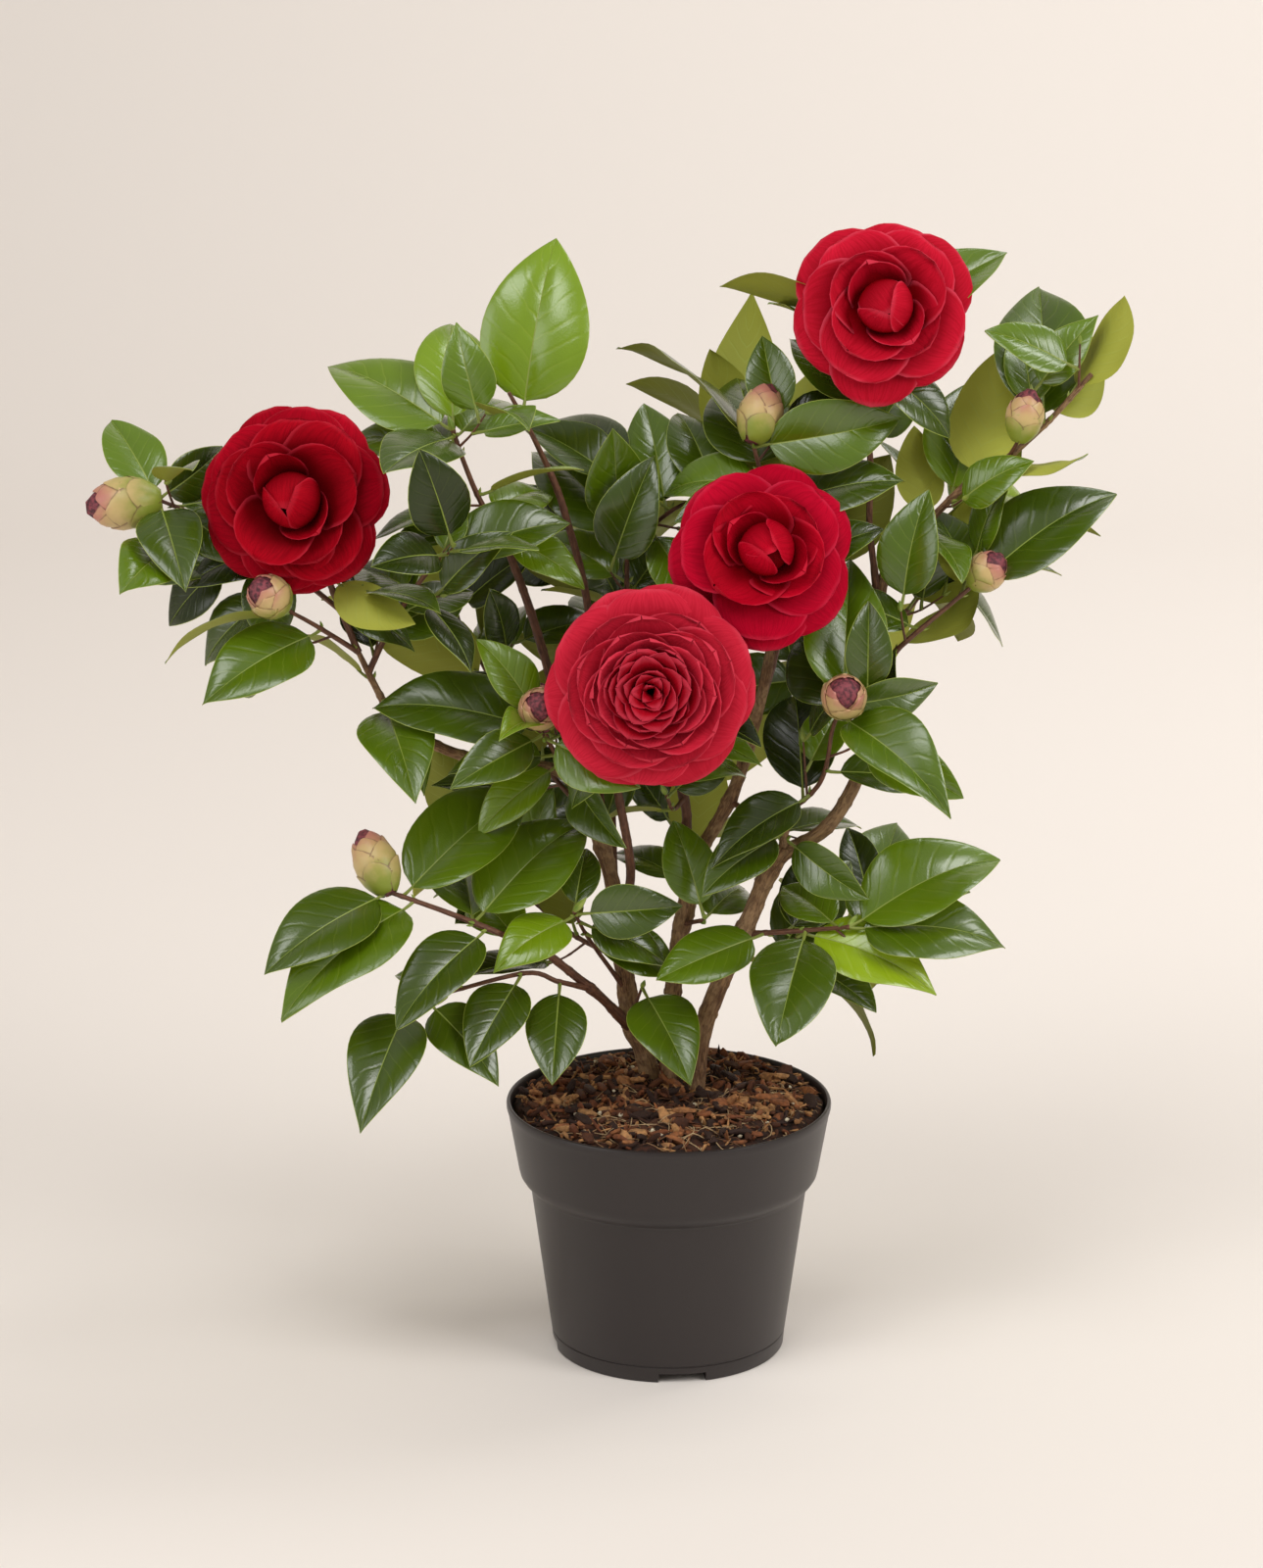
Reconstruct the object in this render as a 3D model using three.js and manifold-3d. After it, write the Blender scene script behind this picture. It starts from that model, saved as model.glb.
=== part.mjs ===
// Camellia shrub in a nursery pot: three stems from one foot, their boughs, and the shoots that carry
// leaves, buds and four double blooms. Each stem, bough and mass of foliage is a mesh of its own.
// Millimetres, +Z up, +X to the plant's right, -Y to its front. Origin: the middle of the pot's underside.
import * as THREE from 'three';
import { mergeVertices } from 'three/addons/utils/BufferGeometryUtils.js';
import Module from 'manifold-3d';

const wasm = await Module();
wasm.setup();

// ---- Driving sizes ----
const GAP = 0.3;
const POT = {
  height: 135, rimRadius: 85, lip: 2.6, collarTop: 132, collarBottom: 97.8, collarRadius: 78.5,
  stepBottom: 89.6, bodyRadius: 72.9, footRadius: 61, wall: 2, floor: 7, sides: 32,
};
const DRAIN = { count: 4, turn: -83.6, width: 25, depth: 5, inner: 26, holeAt: 42, holeRadius: 5 };
const SOIL = { edge: 130, middle: 136.7, flatRadius: 34, shoulder: 134.2, shoulderRadius: 62 };
const STEM_FOOT = SOIL.middle + GAP;
const ROOT_FLARE = 1.35;
const LEAF = { stalk: 8, stalkShare: 0.14, stalkThick: 1.7, widthShare: 0.65, thick: 0.9, clearance: 1 };
const LEAF_STATIONS = [0, 0.26, 0.7, 1];
const PETAL = { stations: [0, 0.5, 0.86, 1], thick: 1.4, rise: 0.08, fold: 8, arch: -0.05, twist: 16 };
const TWIG_SIDES = 4;
const LEANS = [0, 10, -10, 20, -20, 30, -30];
const SLIVER = 0.05;

// The way the light comes and the plane that leaves spread in, and the front that blooms and buds look to.
const LIGHT = new THREE.Vector3(0, -0.6, 0.8);
const ACROSS = new THREE.Vector3(1, 0, 0);
const UPWARD = new THREE.Vector3(0, 0.8, 0.6);
const FRONT = new THREE.Vector3(0, -0.966, 0.259);
const UP = new THREE.Vector3(0, 0, 1);

// ---- Stems and boughs: each is a line of points, its radius at the foot and at the tip, and where it starts ----
// A limb either stands on the soil, grows on from the end of another, or leaves another's side at a share of
// its length.
const LIMBS = [
  { name: 'stem_left', on: 'soil', radii: [5, 3.6], sides: 8,
    points: [[-9, 26, STEM_FOOT], [-14, 24, 155], [-20, 22, 172], [-22, 24, 189], [-29, 25, 243], [-39, 22, 279],
      [-47, 20, 299]] },
  { name: 'stem_centre', on: 'soil', radii: [5, 3.8], sides: 8,
    points: [[1, 17, STEM_FOOT], [1, 17, 160], [2, 16, 187], [5, 18, 215], [9, 18, 234], [13, 20, 258]] },
  { name: 'stem_right', on: 'soil', radii: [5.2, 4.3], sides: 8,
    points: [[13.5, 11, STEM_FOOT], [17, 10, 165], [25, 8, 191], [42, 0, 234], [50, 0, 255], [57, 0, 267]] },
  { name: 'bough_right', from: 'stem_right', at: 1, radii: [3.9, 2.7], sides: 7,
    points: [[82, 0, 283], [99, 5, 314], [104, 8, 355], [109, 10, 411], [123, 5, 433]] },
  { name: 'bough_left', from: 'stem_left', at: 1, radii: [3.2, 2.5], sides: 7,
    points: [[-62, 17, 309], [-108, 10, 318], [-141, 0, 338]] },
  { name: 'bough_upper_left', from: 'stem_left', at: 0.9, radii: [2.6, 2], sides: 6,
    points: [[-56, 27, 335], [-70, 20, 387], [-83, 10, 428]] },
  { name: 'bough_lone', from: 'stem_left', at: 0.78, radii: [2.4, 1.8], sides: 6,
    points: [[-38, 40, 320], [-42, 36, 390], [-54, 25, 443], [-61, 20, 464]] },
  { name: 'bough_centre', from: 'stem_centre', at: 1, radii: [3.6, 2.4], sides: 7,
    points: [[33, 20, 295], [46, 10, 344], [53, -10, 390]] },
  { name: 'bough_rear', from: 'stem_centre', at: 0.9, radii: [2.4, 1.9], sides: 6,
    points: [[8, 24, 290], [-6, 31, 340], [-22, 40, 378]] },
  { name: 'bough_crown', from: 'bough_centre', at: 0.45, radii: [2.3, 1.8], sides: 6,
    points: [[55, 24, 372], [58, 22, 403], [53, 10, 446]] },
  { name: 'bough_front', from: 'stem_left', at: 0.5, radii: [2.4, 2.1], sides: 6,
    points: [[-20, 8, 258], [-27, -5, 305]] },
  { name: 'bough_low', from: 'stem_left', at: 0.17, radii: [2.6, 2.1], sides: 6,
    points: [[-38, 5, 191], [-62, -15, 218]] },
];

// ---- Shoots: a mass is one or more twigs with what they bear ----
// leaves: [share of the twig's length, heading in the leaf plane (0 right, 90 up), length with its stalk,
// lift toward the light, roll about its own line]. buds: [share, heading, length, width, lift].
// A bloom sits on its twig's end: its width, the way it turns from the front, and its kind. A kind has an outer
// ring of petals, each as broad as a share of the half width, round a heart of a given share of the width.
const DOUBLE = { petals: 8, breadth: 0.74, heart: 0.8 };
const FORMAL = { petals: 10, breadth: 0.62, heart: 0.84 };
const MASSES = [
  { name: 'bloom_main', from: 'bough_front', at: 1, twigs: [
    { thick: 4.2, points: [[-24, -25, 338], [-9, -62, 371]],
      leaves: [[0.05, 125, 50], [0.25, 10, 72, -20], [0.7, 215, 62, -45]],
      bloom: { width: 114, turn: [-3, 7], spin: 10, kind: FORMAL } }] },
  { name: 'bloom_centre', from: 'bough_centre', at: 1, twigs: [
    { thick: 3.8, points: [[53, -18, 412], [46, -32, 432]],
      leaves: [[0.3, 30, 62, -35], [0.4, 150, 60, -40]],
      bloom: { width: 99, turn: [4, -8], spin: 25, kind: DOUBLE } }] },
  { name: 'shoot_left', from: 'bough_left', at: 1, twigs: [
    { thick: 4.4, points: [[-150, -5, 358], [-158, -10, 377]],
      leaves: [[0.25, 285, 70, 10], [0.35, 297, 54, -20, -30], [0.6, 140, 50, 0, 70]] },
    { thick: 3.6, points: [[-158, -10, 377], [-166, -13, 399], [-187, -22, 457]],
      leaves: [[0.5, 322, 56, 0, 180], [0.4, 340, 50, -30], [0.7, 60, 58, -40], [0.8, 130, 60, -45]],
      bloom: { width: 104, turn: [-4, 0], spin: 0, kind: DOUBLE } },
    { thick: 3, points: [[-158, -10, 377], [-178, -25, 394], [-194, -36, 406]],
      leaves: [[0.5, 220, 72], [0.9, 188, 66, -15, 55]], buds: [[1, 195, 26, 23, 60]] },
    { thick: 3, points: [[-166, -13, 399], [-214, 2, 433], [-257, -8, 455]],
      leaves: [[1, 117, 60], [1, 286, 60], [1, 50, 46, 0, 60], [0.93, 25, 46, -25], [0.9, 318, 48, 0, 45],
        [0.5, 80, 50, -30], [0.45, 275, 50, -40]],
      buds: [[1, 188, 38, 28, 0]] },
    { thick: 3.4, points: [[-153, -7, 366], [-140, -10, 393], [-124, -20, 418], [-109, -25, 436]],
      leaves: [[0.35, 76, 82, 0, -50], [0.8, 25, 74], [0.9, 75, 30], [0.42, 38, 48, -20], [0.6, 120, 50, -35]],
      buds: [[0.82, 150, 13, 8, 20]] }] },
  { name: 'shoot_upper_left', from: 'bough_upper_left', at: 1, twigs: [
    { thick: 3.4, points: [[-96, 5, 452], [-104, 0, 473], [-109, -5, 490]],
      leaves: [[1, 142, 80], [1, 92, 68], [0.95, 240, 70, 30], [0.8, 165, 56], [0.9, 135, 66, -35],
        [0.95, 62, 60, -25], [0.45, 20, 54, 0, -50], [0.3, 48, 54, -25], [0.2, 185, 56, -20], [0.1, 330, 50, -10]] }] },
  { name: 'shoot_lone_leaf', from: 'bough_lone', at: 1, twigs: [
    { thick: 3.2, points: [[-71, 12, 487], [-81, 5, 507]],
      leaves: [[0.7, 78, 90, 35]] }] },
  { name: 'shoot_top_bloom', from: 'bough_right', at: 0.76, twigs: [
    { thick: 3.6, points: [[101, 6, 440], [101, 5, 471], [98, 0, 506], [105, -6, 551]],
      leaves: [[0.62, 125, 62], [0.93, 157, 86, 0, 60], [0.75, 132, 76, 0, 40], [0.93, 38, 82], [0.5, 62, 56, 0, 50],
        [0.3, 150, 54, -20], [0.8, 330, 54, -30]],
      bloom: { width: 99, turn: [2, 0], spin: 18, kind: DOUBLE } }] },
  { name: 'shoot_crown', from: 'bough_crown', at: 1, twigs: [
    { thick: 3, points: [[46, 4, 466], [41, 0, 484]],
      leaves: [[1, 128, 94, 0, 55], [0.55, 97, 84, -10], [0.9, 5, 72, 10, 50], [0.2, 75, 78, -10, 180],
        [0.05, 15, 68], [0.3, 205, 50, 0], [0.4, 160, 60, -25]],
      buds: [[1, 70, 32, 24, 25]] }] },
  { name: 'shoot_rear', from: 'bough_rear', at: 1, twigs: [
    { thick: 3, points: [[-22, 38, 420], [-24, 32, 456]],
      leaves: [[1, 120, 84, -20], [1, 142, 64], [0.62, 127, 80], [0.65, 162, 62, 0, 50], [0.3, 142, 54],
        [0.2, 58, 52], [0.1, 160, 48, 0, 50], [0.95, 80, 50, -30]] },
    { thick: 2.6, points: [[-22, 38, 420], [2, 32, 442], [24, 26, 452]],
      leaves: [[0.5, 100, 66, 10], [1, 108, 62], [1, 70, 62, -20], [0.55, 140, 44, 0, 180], [0.9, 20, 56],
        [0.3, 300, 50, -20]] }] },
  { name: 'shoot_right', from: 'bough_right', at: 1, twigs: [
    { thick: 4, points: [[149, 0, 461], [167, -5, 474], [189, -5, 494], [210, -5, 518]],
      leaves: [[0.08, 97, 50, 25, 180], [0.22, 80, 82, -15], [0.32, 75, 76, 0, 180], [0.45, 348, 48, 20, 150],
        [0.55, 337, 74, 0, 160], [0.72, 88, 96], [0.75, 52, 48, 0, 180], [0.87, 66, 56, 0, 150], [0.92, 47, 80, 0, 35],
        [0.05, 300, 46, 0, -30], [0.3, 20, 50, -35]] },
    { thick: 2.6, points: [[170, -5, 476], [174, -14, 487]], leaves: [], buds: [[1, 70, 27, 20, 50]] }] },
  { name: 'shoot_right_bud', from: 'bough_right', at: 0.58, twigs: [
    { thick: 3.2, points: [[118, -7, 380], [153, -15, 413]],
      leaves: [[0.88, 76, 72, 0, 180], [1, 42, 84], [0.25, 42, 58, 0, 150], [0.5, 150, 50, -10]],
      buds: [[1, 20, 23, 21, 50]] }] },
  { name: 'shoot_glossy', from: 'bough_centre', at: 0.25, twigs: [
    { thick: 3, points: [[50, 4, 284], [76, -10, 307], [82, -28, 341], [86, -40, 356]],
      leaves: [[0.4, 92, 74], [0.6, 0, 58, -10], [0.93, 103, 66, 0, -45], [1, 86, 80, 20], [1, 15, 50, 0, 60],
        [0.95, 312, 78], [0.45, 215, 62, -10]],
      buds: [[1, 280, 26, 24, 75], [0.25, 150, 9, 6, 10]] }] },
  { name: 'shoot_left_front', from: 'stem_left', at: 0.97, twigs: [
    { thick: 3, points: [[-60, -8, 326], [-66, -36, 350]],
      leaves: [[0.8, 167, 84], [0.9, 238, 44, 40], [0.4, 190, 54], [0.3, 215, 54, -20], [0.15, 300, 54, 0, 50],
        [1, 135, 48, 30], [0.6, 60, 50, -35]],
      buds: [[1, 280, 24, 23, 70], [0.8, 95, 26, 20, 15]] }] },
  { name: 'shoot_lower_right', from: 'stem_right', at: 0.66, twigs: [
    { thick: 3, points: [[62, -10, 229], [92, -22, 235]],
      leaves: [[0.12, 208, 62], [0.55, 258, 80, 12], [0.5, 334, 74], [1, 356, 78], [1, 33, 86], [1, 45, 66, -25],
        [0.9, 125, 50, -20], [0.35, 60, 50, -25]],
      buds: [[1, 60, 9, 6, 0]] }] },
  { name: 'shoot_fork', from: 'stem_right', at: 0.93, twigs: [
    { thick: 5, points: [[58, -6, 272], [60, -8, 284]],
      leaves: [[0.6, 322, 52, -10, 50], [0.5, 345, 50, -20], [0.9, 228, 54, 10]] }] },
  { name: 'shoot_centre_low', from: 'bough_rear', at: 0.15, twigs: [
    { thick: 2.6, points: [[2, 6, 290], [-2, 0, 300]],
      leaves: [[0.7, 165, 50], [0.6, 190, 40, 0, 50], [0.9, 50, 52, 0, 40]] }] },
  { name: 'shoot_centre_front', from: 'stem_centre', at: 0.72, twigs: [
    { thick: 2.6, points: [[17, 0, 232], [18, -8, 236]],
      leaves: [[1, 102, 52, -10], [0.5, 140, 50, -25], [0.8, 60, 50, -25]] }] },
  { name: 'shoot_lower_left', from: 'bough_low', at: 1, twigs: [
    { thick: 3.6, points: [[-89, -30, 235], [-114, -35, 247], [-143, -39, 259]],
      leaves: [[0.5, 98, 78, -25], [0.5, 52, 88], [0.42, 232, 70], [0.92, 50, 92], [0.85, 226, 90], [1, 218, 78],
        [0.2, 120, 52, -20]],
      buds: [[1, 115, 36, 24, 20]] }] },
  { name: 'shoot_foot_left', from: 'bough_low', at: 0.4, twigs: [
    { thick: 2.8, points: [[-58, -16, 204], [-74, -21, 210], [-115, -30, 202], [-134, -35, 198]],
      leaves: [[0.38, 246, 60], [0.15, 267, 60], [1, 254, 76], [0.9, 306, 58], [0.7, 150, 44, -20]],
      buds: [[0.8, 170, 19, 14, -10]] }] },
  { name: 'shoot_low_centre', from: 'stem_left', at: 0.3, twigs: [
    { thick: 2.6, points: [[-42, 5, 221], [-49, -18, 242]],
      leaves: [[0.95, 218, 54], [1, 82, 42], [0.95, 5, 54, 0, 40], [0.8, 345, 50, -20], [0.6, 0, 54, -35]],
      buds: [[1, 40, 9, 6, 30]] }] },
  { name: 'shoot_foot', from: 'stem_left', at: 0.22, twigs: [
    { thick: 2.2, points: [[-14, 8, 193]], leaves: [[1, 292, 64, 5]] }] },
];

// ---- Shoots at the back and sides, where each has the same habit: leaves at a golden turn up the twig ----
const REAR = { bare: 0.3, spacing: 17, length: [58, 78], turn: 137.5, spread: 62, thick: 3, seed: 11 };
const REAR_SHOOTS = [
  { name: 'rear_left', from: 'stem_left', at: 0.86, tip: [-112, 92, 372] },
  { name: 'rear_centre', from: 'stem_left', at: 0.6, tip: [-32, 128, 392] },
  { name: 'rear_right', from: 'bough_right', at: 0.35, tip: [78, 108, 392] },
  { name: 'rear_low_left', from: 'stem_left', at: 0.4, tip: [-92, 92, 238] },
  { name: 'rear_low_right', from: 'stem_right', at: 0.55, tip: [102, 90, 200] },
  { name: 'rear_middle', from: 'stem_centre', at: 0.8, tip: [22, 128, 300] },
  { name: 'rear_top_right', from: 'bough_right', at: 0.68, tip: [152, 76, 424] },
  { name: 'rear_top', from: 'bough_crown', at: 0.7, tip: [34, 96, 466] },
];

const COLOURS = { pot: 0x2b2a2a, soil: 0x4a2c1d, bark: 0x6f5238, leaf: 0x2c5a22 };

// ---- Small tools ----
const vector = (point) => new THREE.Vector3(...point);
const radians = THREE.MathUtils.degToRad;
const mix = THREE.MathUtils.lerp;

// The same numbers every time: a plain multiplicative generator.
function randomFrom(seed) {
  let state = seed * 7919 + 101;
  return () => {
    state = (state * 16807) % 2147483647;
    return state / 2147483647;
  };
}

// A closed shell swept through rings: `place` puts each point of a round section at its share of the way. The two
// sides of a thin blade stay parallel only where every other strip is cut along its other diagonal.
function sweep(sides, steps, place, thin = false) {
  const shell = new THREE.CylinderGeometry(1, 1, 1, sides, steps);
  shell.deleteAttribute('normal');
  shell.deleteAttribute('uv');
  const corners = shell.index.array;
  for (let strip = 1; thin && strip < sides; strip += 2) {
    for (let quad = strip * steps; quad < (strip + 1) * steps; quad++) {
      const [a, b, d, , c] = corners.slice(6 * quad, 6 * quad + 6);
      corners.set([a, b, c, a, c, d], 6 * quad);
    }
  }
  const at = shell.getAttribute('position');
  for (let i = 0; i < at.count; i++) {
    const point = place(Math.round((at.getY(i) + 0.5) * steps), at.getX(i), at.getZ(i));
    at.setXYZ(i, point.x, point.y, point.z);
  }
  return shellOf(shell);
}

// Shared points and whole faces only: ends that close to a point leave none of their flat faces behind.
function shellOf(geometry) {
  const merged = mergeVertices(geometry, 1e-3);
  const at = merged.getAttribute('position');
  const points = [];
  for (let i = 0; i < at.count; i++) points.push(new THREE.Vector3().fromBufferAttribute(at, i));
  const faces = [];
  for (let i = 0; i < merged.index.count; i += 3) {
    const face = [0, 1, 2].map((corner) => merged.index.getX(i + corner));
    if (new Set(face).size === 3) faces.push(face);
  }
  return { points, faces, box: new THREE.Box3().setFromPoints(points) };
}

function solid({ points, faces }) {
  return new wasm.Manifold(new wasm.Mesh({
    numProp: 3,
    vertProperties: new Float32Array(points.flatMap((point) => point.toArray())),
    triVerts: new Uint32Array(faces.flat()),
  }));
}

// The pieces of a node in one body. What fusing seals inside is filled and a loose scrap is dropped, and slivers
// along the seams go too, which takes one body that no longer knows its pieces.
function fused(shells) {
  const bodies = wasm.Manifold.union(shells.map(solid)).decompose();
  const largest = bodies.reduce((best, body) => (body.volume() > best.volume() ? body : best));
  return largest.asOriginal().simplify(SLIVER);
}

function mesh(name, body, colour, roughness) {
  const { vertProperties, triVerts } = body.getMesh();
  const geometry = new THREE.BufferGeometry();
  geometry.setAttribute('position', new THREE.BufferAttribute(vertProperties, 3));
  geometry.setIndex(new THREE.BufferAttribute(triVerts, 1));
  geometry.computeVertexNormals();
  const made = new THREE.Mesh(geometry, new THREE.MeshStandardMaterial({ color: colour, roughness }));
  made.name = name;
  return made;
}

// ---- Whether two shells cross: an edge of one passes through a face of the other ----
function pierces(edges, faces) {
  const ray = new THREE.Ray();
  const hit = new THREE.Vector3();
  const [a, b, c] = [new THREE.Vector3(), new THREE.Vector3(), new THREE.Vector3()];
  return edges.faces.some((edge) => edge.some((start, corner) => {
    const end = edge[(corner + 1) % 3];
    if (end < start) return false;
    const from = edges.points[start];
    const to = edges.points[end];
    ray.set(from, to.clone().sub(from).normalize());
    return faces.faces.some((face) => {
      a.copy(faces.points[face[0]]);
      b.copy(faces.points[face[1]]);
      c.copy(faces.points[face[2]]);
      return ray.intersectTriangle(a, b, c, false, hit) && hit.distanceTo(from) <= to.distanceTo(from);
    });
  }));
}
const crosses = (one, other) => one.box.intersectsBox(other.box) && (pierces(one, other) || pierces(other, one));

// ---- Pot and soil ----
function lathe(profile) {
  const line = profile.map(([radius, height]) => new THREE.Vector2(radius, height));
  const turned = new THREE.LatheGeometry(line, POT.sides);
  turned.deleteAttribute('normal');
  turned.deleteAttribute('uv');
  turned.rotateX(Math.PI / 2);
  return solid(shellOf(turned));
}

const bodyRadiusAt = (height) => mix(POT.footRadius, POT.bodyRadius, height / POT.stepBottom);
const insideRadius = (height) => bodyRadiusAt(height) - POT.wall;

function pot() {
  const inRim = POT.rimRadius - POT.lip;
  const turned = lathe([
    [0, 0], [POT.footRadius, 0], [POT.bodyRadius, POT.stepBottom], [POT.collarRadius, POT.collarBottom],
    [POT.rimRadius - 0.5, POT.collarTop], [POT.rimRadius, POT.height], [inRim, POT.height],
    [POT.collarRadius - POT.wall, POT.collarBottom + 1], [insideRadius(POT.stepBottom), POT.stepBottom + 1],
    [insideRadius(POT.floor), POT.floor], [0, POT.floor],
  ]);
  const cuts = [];
  for (let i = 0; i < DRAIN.count; i++) {
    const turn = radians(DRAIN.turn + i * 360 / DRAIN.count);
    const reach = POT.footRadius + 5 - DRAIN.inner;
    const channel = new THREE.BoxGeometry(reach, DRAIN.width, 2 * DRAIN.depth);
    channel.translate(DRAIN.inner + reach / 2, 0, 0).rotateZ(turn);
    const hole = new THREE.CylinderGeometry(DRAIN.holeRadius, DRAIN.holeRadius, 4 * POT.floor, 8);
    hole.rotateX(Math.PI / 2).translate(DRAIN.holeAt, 0, 0).rotateZ(turn);
    for (const cut of [channel, hole]) {
      cut.deleteAttribute('normal');
      cut.deleteAttribute('uv');
      cuts.push(solid(shellOf(cut)));
    }
  }
  return turned.subtract(wasm.Manifold.union(cuts));
}

function soil() {
  const low = POT.floor + GAP;
  const collarInside = (height) => mix(POT.collarRadius - POT.wall, POT.rimRadius - POT.lip,
    (height - POT.collarBottom - 1) / (POT.height - POT.collarBottom - 1));
  return lathe([
    [0, low], [insideRadius(POT.floor) - 2 * GAP, low], [insideRadius(POT.stepBottom) - 2 * GAP, POT.stepBottom + 1],
    [POT.collarRadius - POT.wall - 2 * GAP, POT.collarBottom + 2], [collarInside(SOIL.edge) - 2 * GAP, SOIL.edge],
    [SOIL.shoulderRadius, SOIL.shoulder], [SOIL.flatRadius, SOIL.middle], [0, SOIL.middle],
  ]);
}

// ---- Limbs and twigs ----
const curveOf = (points) => new THREE.CatmullRomCurve3(points, false, 'catmullrom');

function stick(curve, steps, radii, sides, upright, flare = 1) {
  const { tangents, normals } = curve.computeFrenetFrames(steps);
  return sweep(sides, steps, (step, x, z) => {
    const along = upright && step === 0 ? UP : tangents[step];
    const out = normals[step].clone().addScaledVector(along, -normals[step].dot(along)).normalize();
    const aside = along.clone().cross(out);
    const radius = mix(radii[0], radii[1], step / steps) * (step === 0 ? flare : 1);
    return curve.getPointAt(step / steps).addScaledVector(aside, x * radius).addScaledVector(out, z * radius);
  });
}

// Where a limb or twig of some radius starts, just clear of the one that it grows from.
function startOn(host, at, toward, radius) {
  const root = host.curve.getPointAt(at);
  const along = host.curve.getTangentAt(at);
  const way = vector(toward).sub(root).normalize();
  const hostRadius = mix(host.radii[0], host.radii[1], at);
  if (at === 1) {
    const tilt = way.angleTo(along);
    return root.addScaledVector(way, (GAP + (radius + hostRadius) * Math.sin(tilt) * 0.55) / Math.cos(tilt / 2));
  }
  const angle = way.angleTo(along);
  return root.addScaledVector(way, (hostRadius + GAP + radius * Math.abs(Math.cos(angle))) / Math.sin(angle));
}

const limbs = {};
for (const limb of LIMBS) {
  const grounded = limb.on === 'soil';
  const first = grounded ? [] : [startOn(limbs[limb.from], limb.at, limb.points[0], limb.radii[0])];
  const curve = curveOf([...first, ...limb.points.map(vector)]);
  const steps = 2 * (curve.points.length - 1);
  const shell = stick(curve, steps, limb.radii, limb.sides, grounded, grounded ? ROOT_FLARE : 1);
  limbs[limb.name] = { curve, radii: limb.radii, shell };
}

// ---- Blades: leaves and petals share one form, a thin lens across a midrib that arches over its chord ----
const leafOutline = (share) => Math.sin(Math.PI * share ** 0.9) ** 0.7;
const petalOutline = (share) => Math.sin(Math.PI * Math.min(1, share ** 1.5 * 0.88 + 0.06)) ** 0.6;

// `stalk` is a thin four-sided run ahead of the blade's own base, or 0 where the blade starts in a point.
function blade({ base, along, up, length, width, thick, fold, arch, twist, stalk = 0 }, stations, outline) {
  const aside = along.clone().cross(up);
  const stops = stalk ? [-stalk / length, ...stations] : stations;
  return sweep(4, stops.length - 1, (step, x, z) => {
    const share = stops[step];
    const open = share > 0 && share < 1;
    const onStalk = stalk && share <= 0;
    const half = open ? width / 2 * outline(share) : onStalk ? LEAF.stalkThick / 2 : 0;
    const body = open ? thick / 2 : half;
    const turn = open ? twist * (share - 0.5) : 0;
    const bend = open ? fold : 0;
    const side = aside.clone().multiplyScalar(Math.cos(turn)).addScaledVector(up, Math.sin(turn));
    const lift = half * Math.abs(x) * Math.sin(bend) + (open ? 4 * arch * length * share * (1 - share) : 0);
    return base.clone().addScaledVector(along, length * share).addScaledVector(side, x * half * Math.cos(bend))
      .addScaledVector(up, lift + z * body);
  }, true);
}

// Heading in the leaf plane, then lifted toward the light.
function headingOf(heading, lift) {
  const flat = ACROSS.clone().multiplyScalar(Math.cos(radians(heading)))
    .addScaledVector(UPWARD, Math.sin(radians(heading)));
  return flat.multiplyScalar(Math.cos(radians(lift))).addScaledVector(LIGHT, Math.sin(radians(lift)));
}

// The upper side of something that runs along a line and turns to face a given way.
function facing(along, way, roll) {
  const up = way.clone().addScaledVector(along, -way.dot(along)).normalize();
  return up.applyAxisAngle(along, radians(roll));
}

function leafForm(root, along, way, roll, length, random) {
  const stalk = Math.min(LEAF.stalk, length * LEAF.stalkShare);
  return {
    root, stalk, along, way, roll, length: length - stalk,
    width: (length - stalk) * LEAF.widthShare * mix(0.92, 1.08, random()),
    fold: radians(mix(6, 20, random())), arch: mix(0.03, 0.08, random()), twist: radians(mix(-14, 14, random())),
  };
}

// A leaf leaned toward the front or the back.
function leafShape(form, lean) {
  const along = form.along.clone().addScaledVector(FRONT, Math.tan(radians(lean))).normalize();
  return { ...form, along, base: form.root.clone().addScaledVector(along, form.stalk),
    up: facing(along, form.way, form.roll), thick: LEAF.thick };
}

// The room that its blade asks for: a little more than its size, without the stalk.
function leafRoom(shape) {
  const more = LEAF.clearance;
  return blade({ ...shape, stalk: 0, length: shape.length + more, width: shape.width + more,
    thick: shape.thick + more }, LEAF_STATIONS, leafOutline);
}

// ---- Buds and blooms ----
function bud(root, along, length, width) {
  const up = facing(along, Math.abs(along.dot(UP)) > 0.9 ? FRONT : UP, 0);
  const aside = along.clone().cross(up);
  return sweep(6, 4, (step, x, z) => {
    const share = [0, 0.22, 0.5, 0.8, 1][step];
    const half = width / 2 * [0, 0.78, 1, 0.62, 0][step];
    return root.clone().addScaledVector(along, length * share - 1.5)
      .addScaledVector(aside, x * half).addScaledVector(up, z * half);
  });
}

// The closed middle of a bloom: a low cup that widens from the stalk and rounds over.
function heart(root, face, first, width) {
  const aside = face.clone().cross(first);
  return sweep(10, 4, (step, x, z) => {
    const half = width / 2 * [0.1, 0.62, 1, 0.72, 0][step];
    return root.clone().addScaledVector(face, width * [-0.06, 0.02, 0.16, 0.3, 0.34][step])
      .addScaledVector(aside, x * half).addScaledVector(first, z * half);
  });
}

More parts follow.
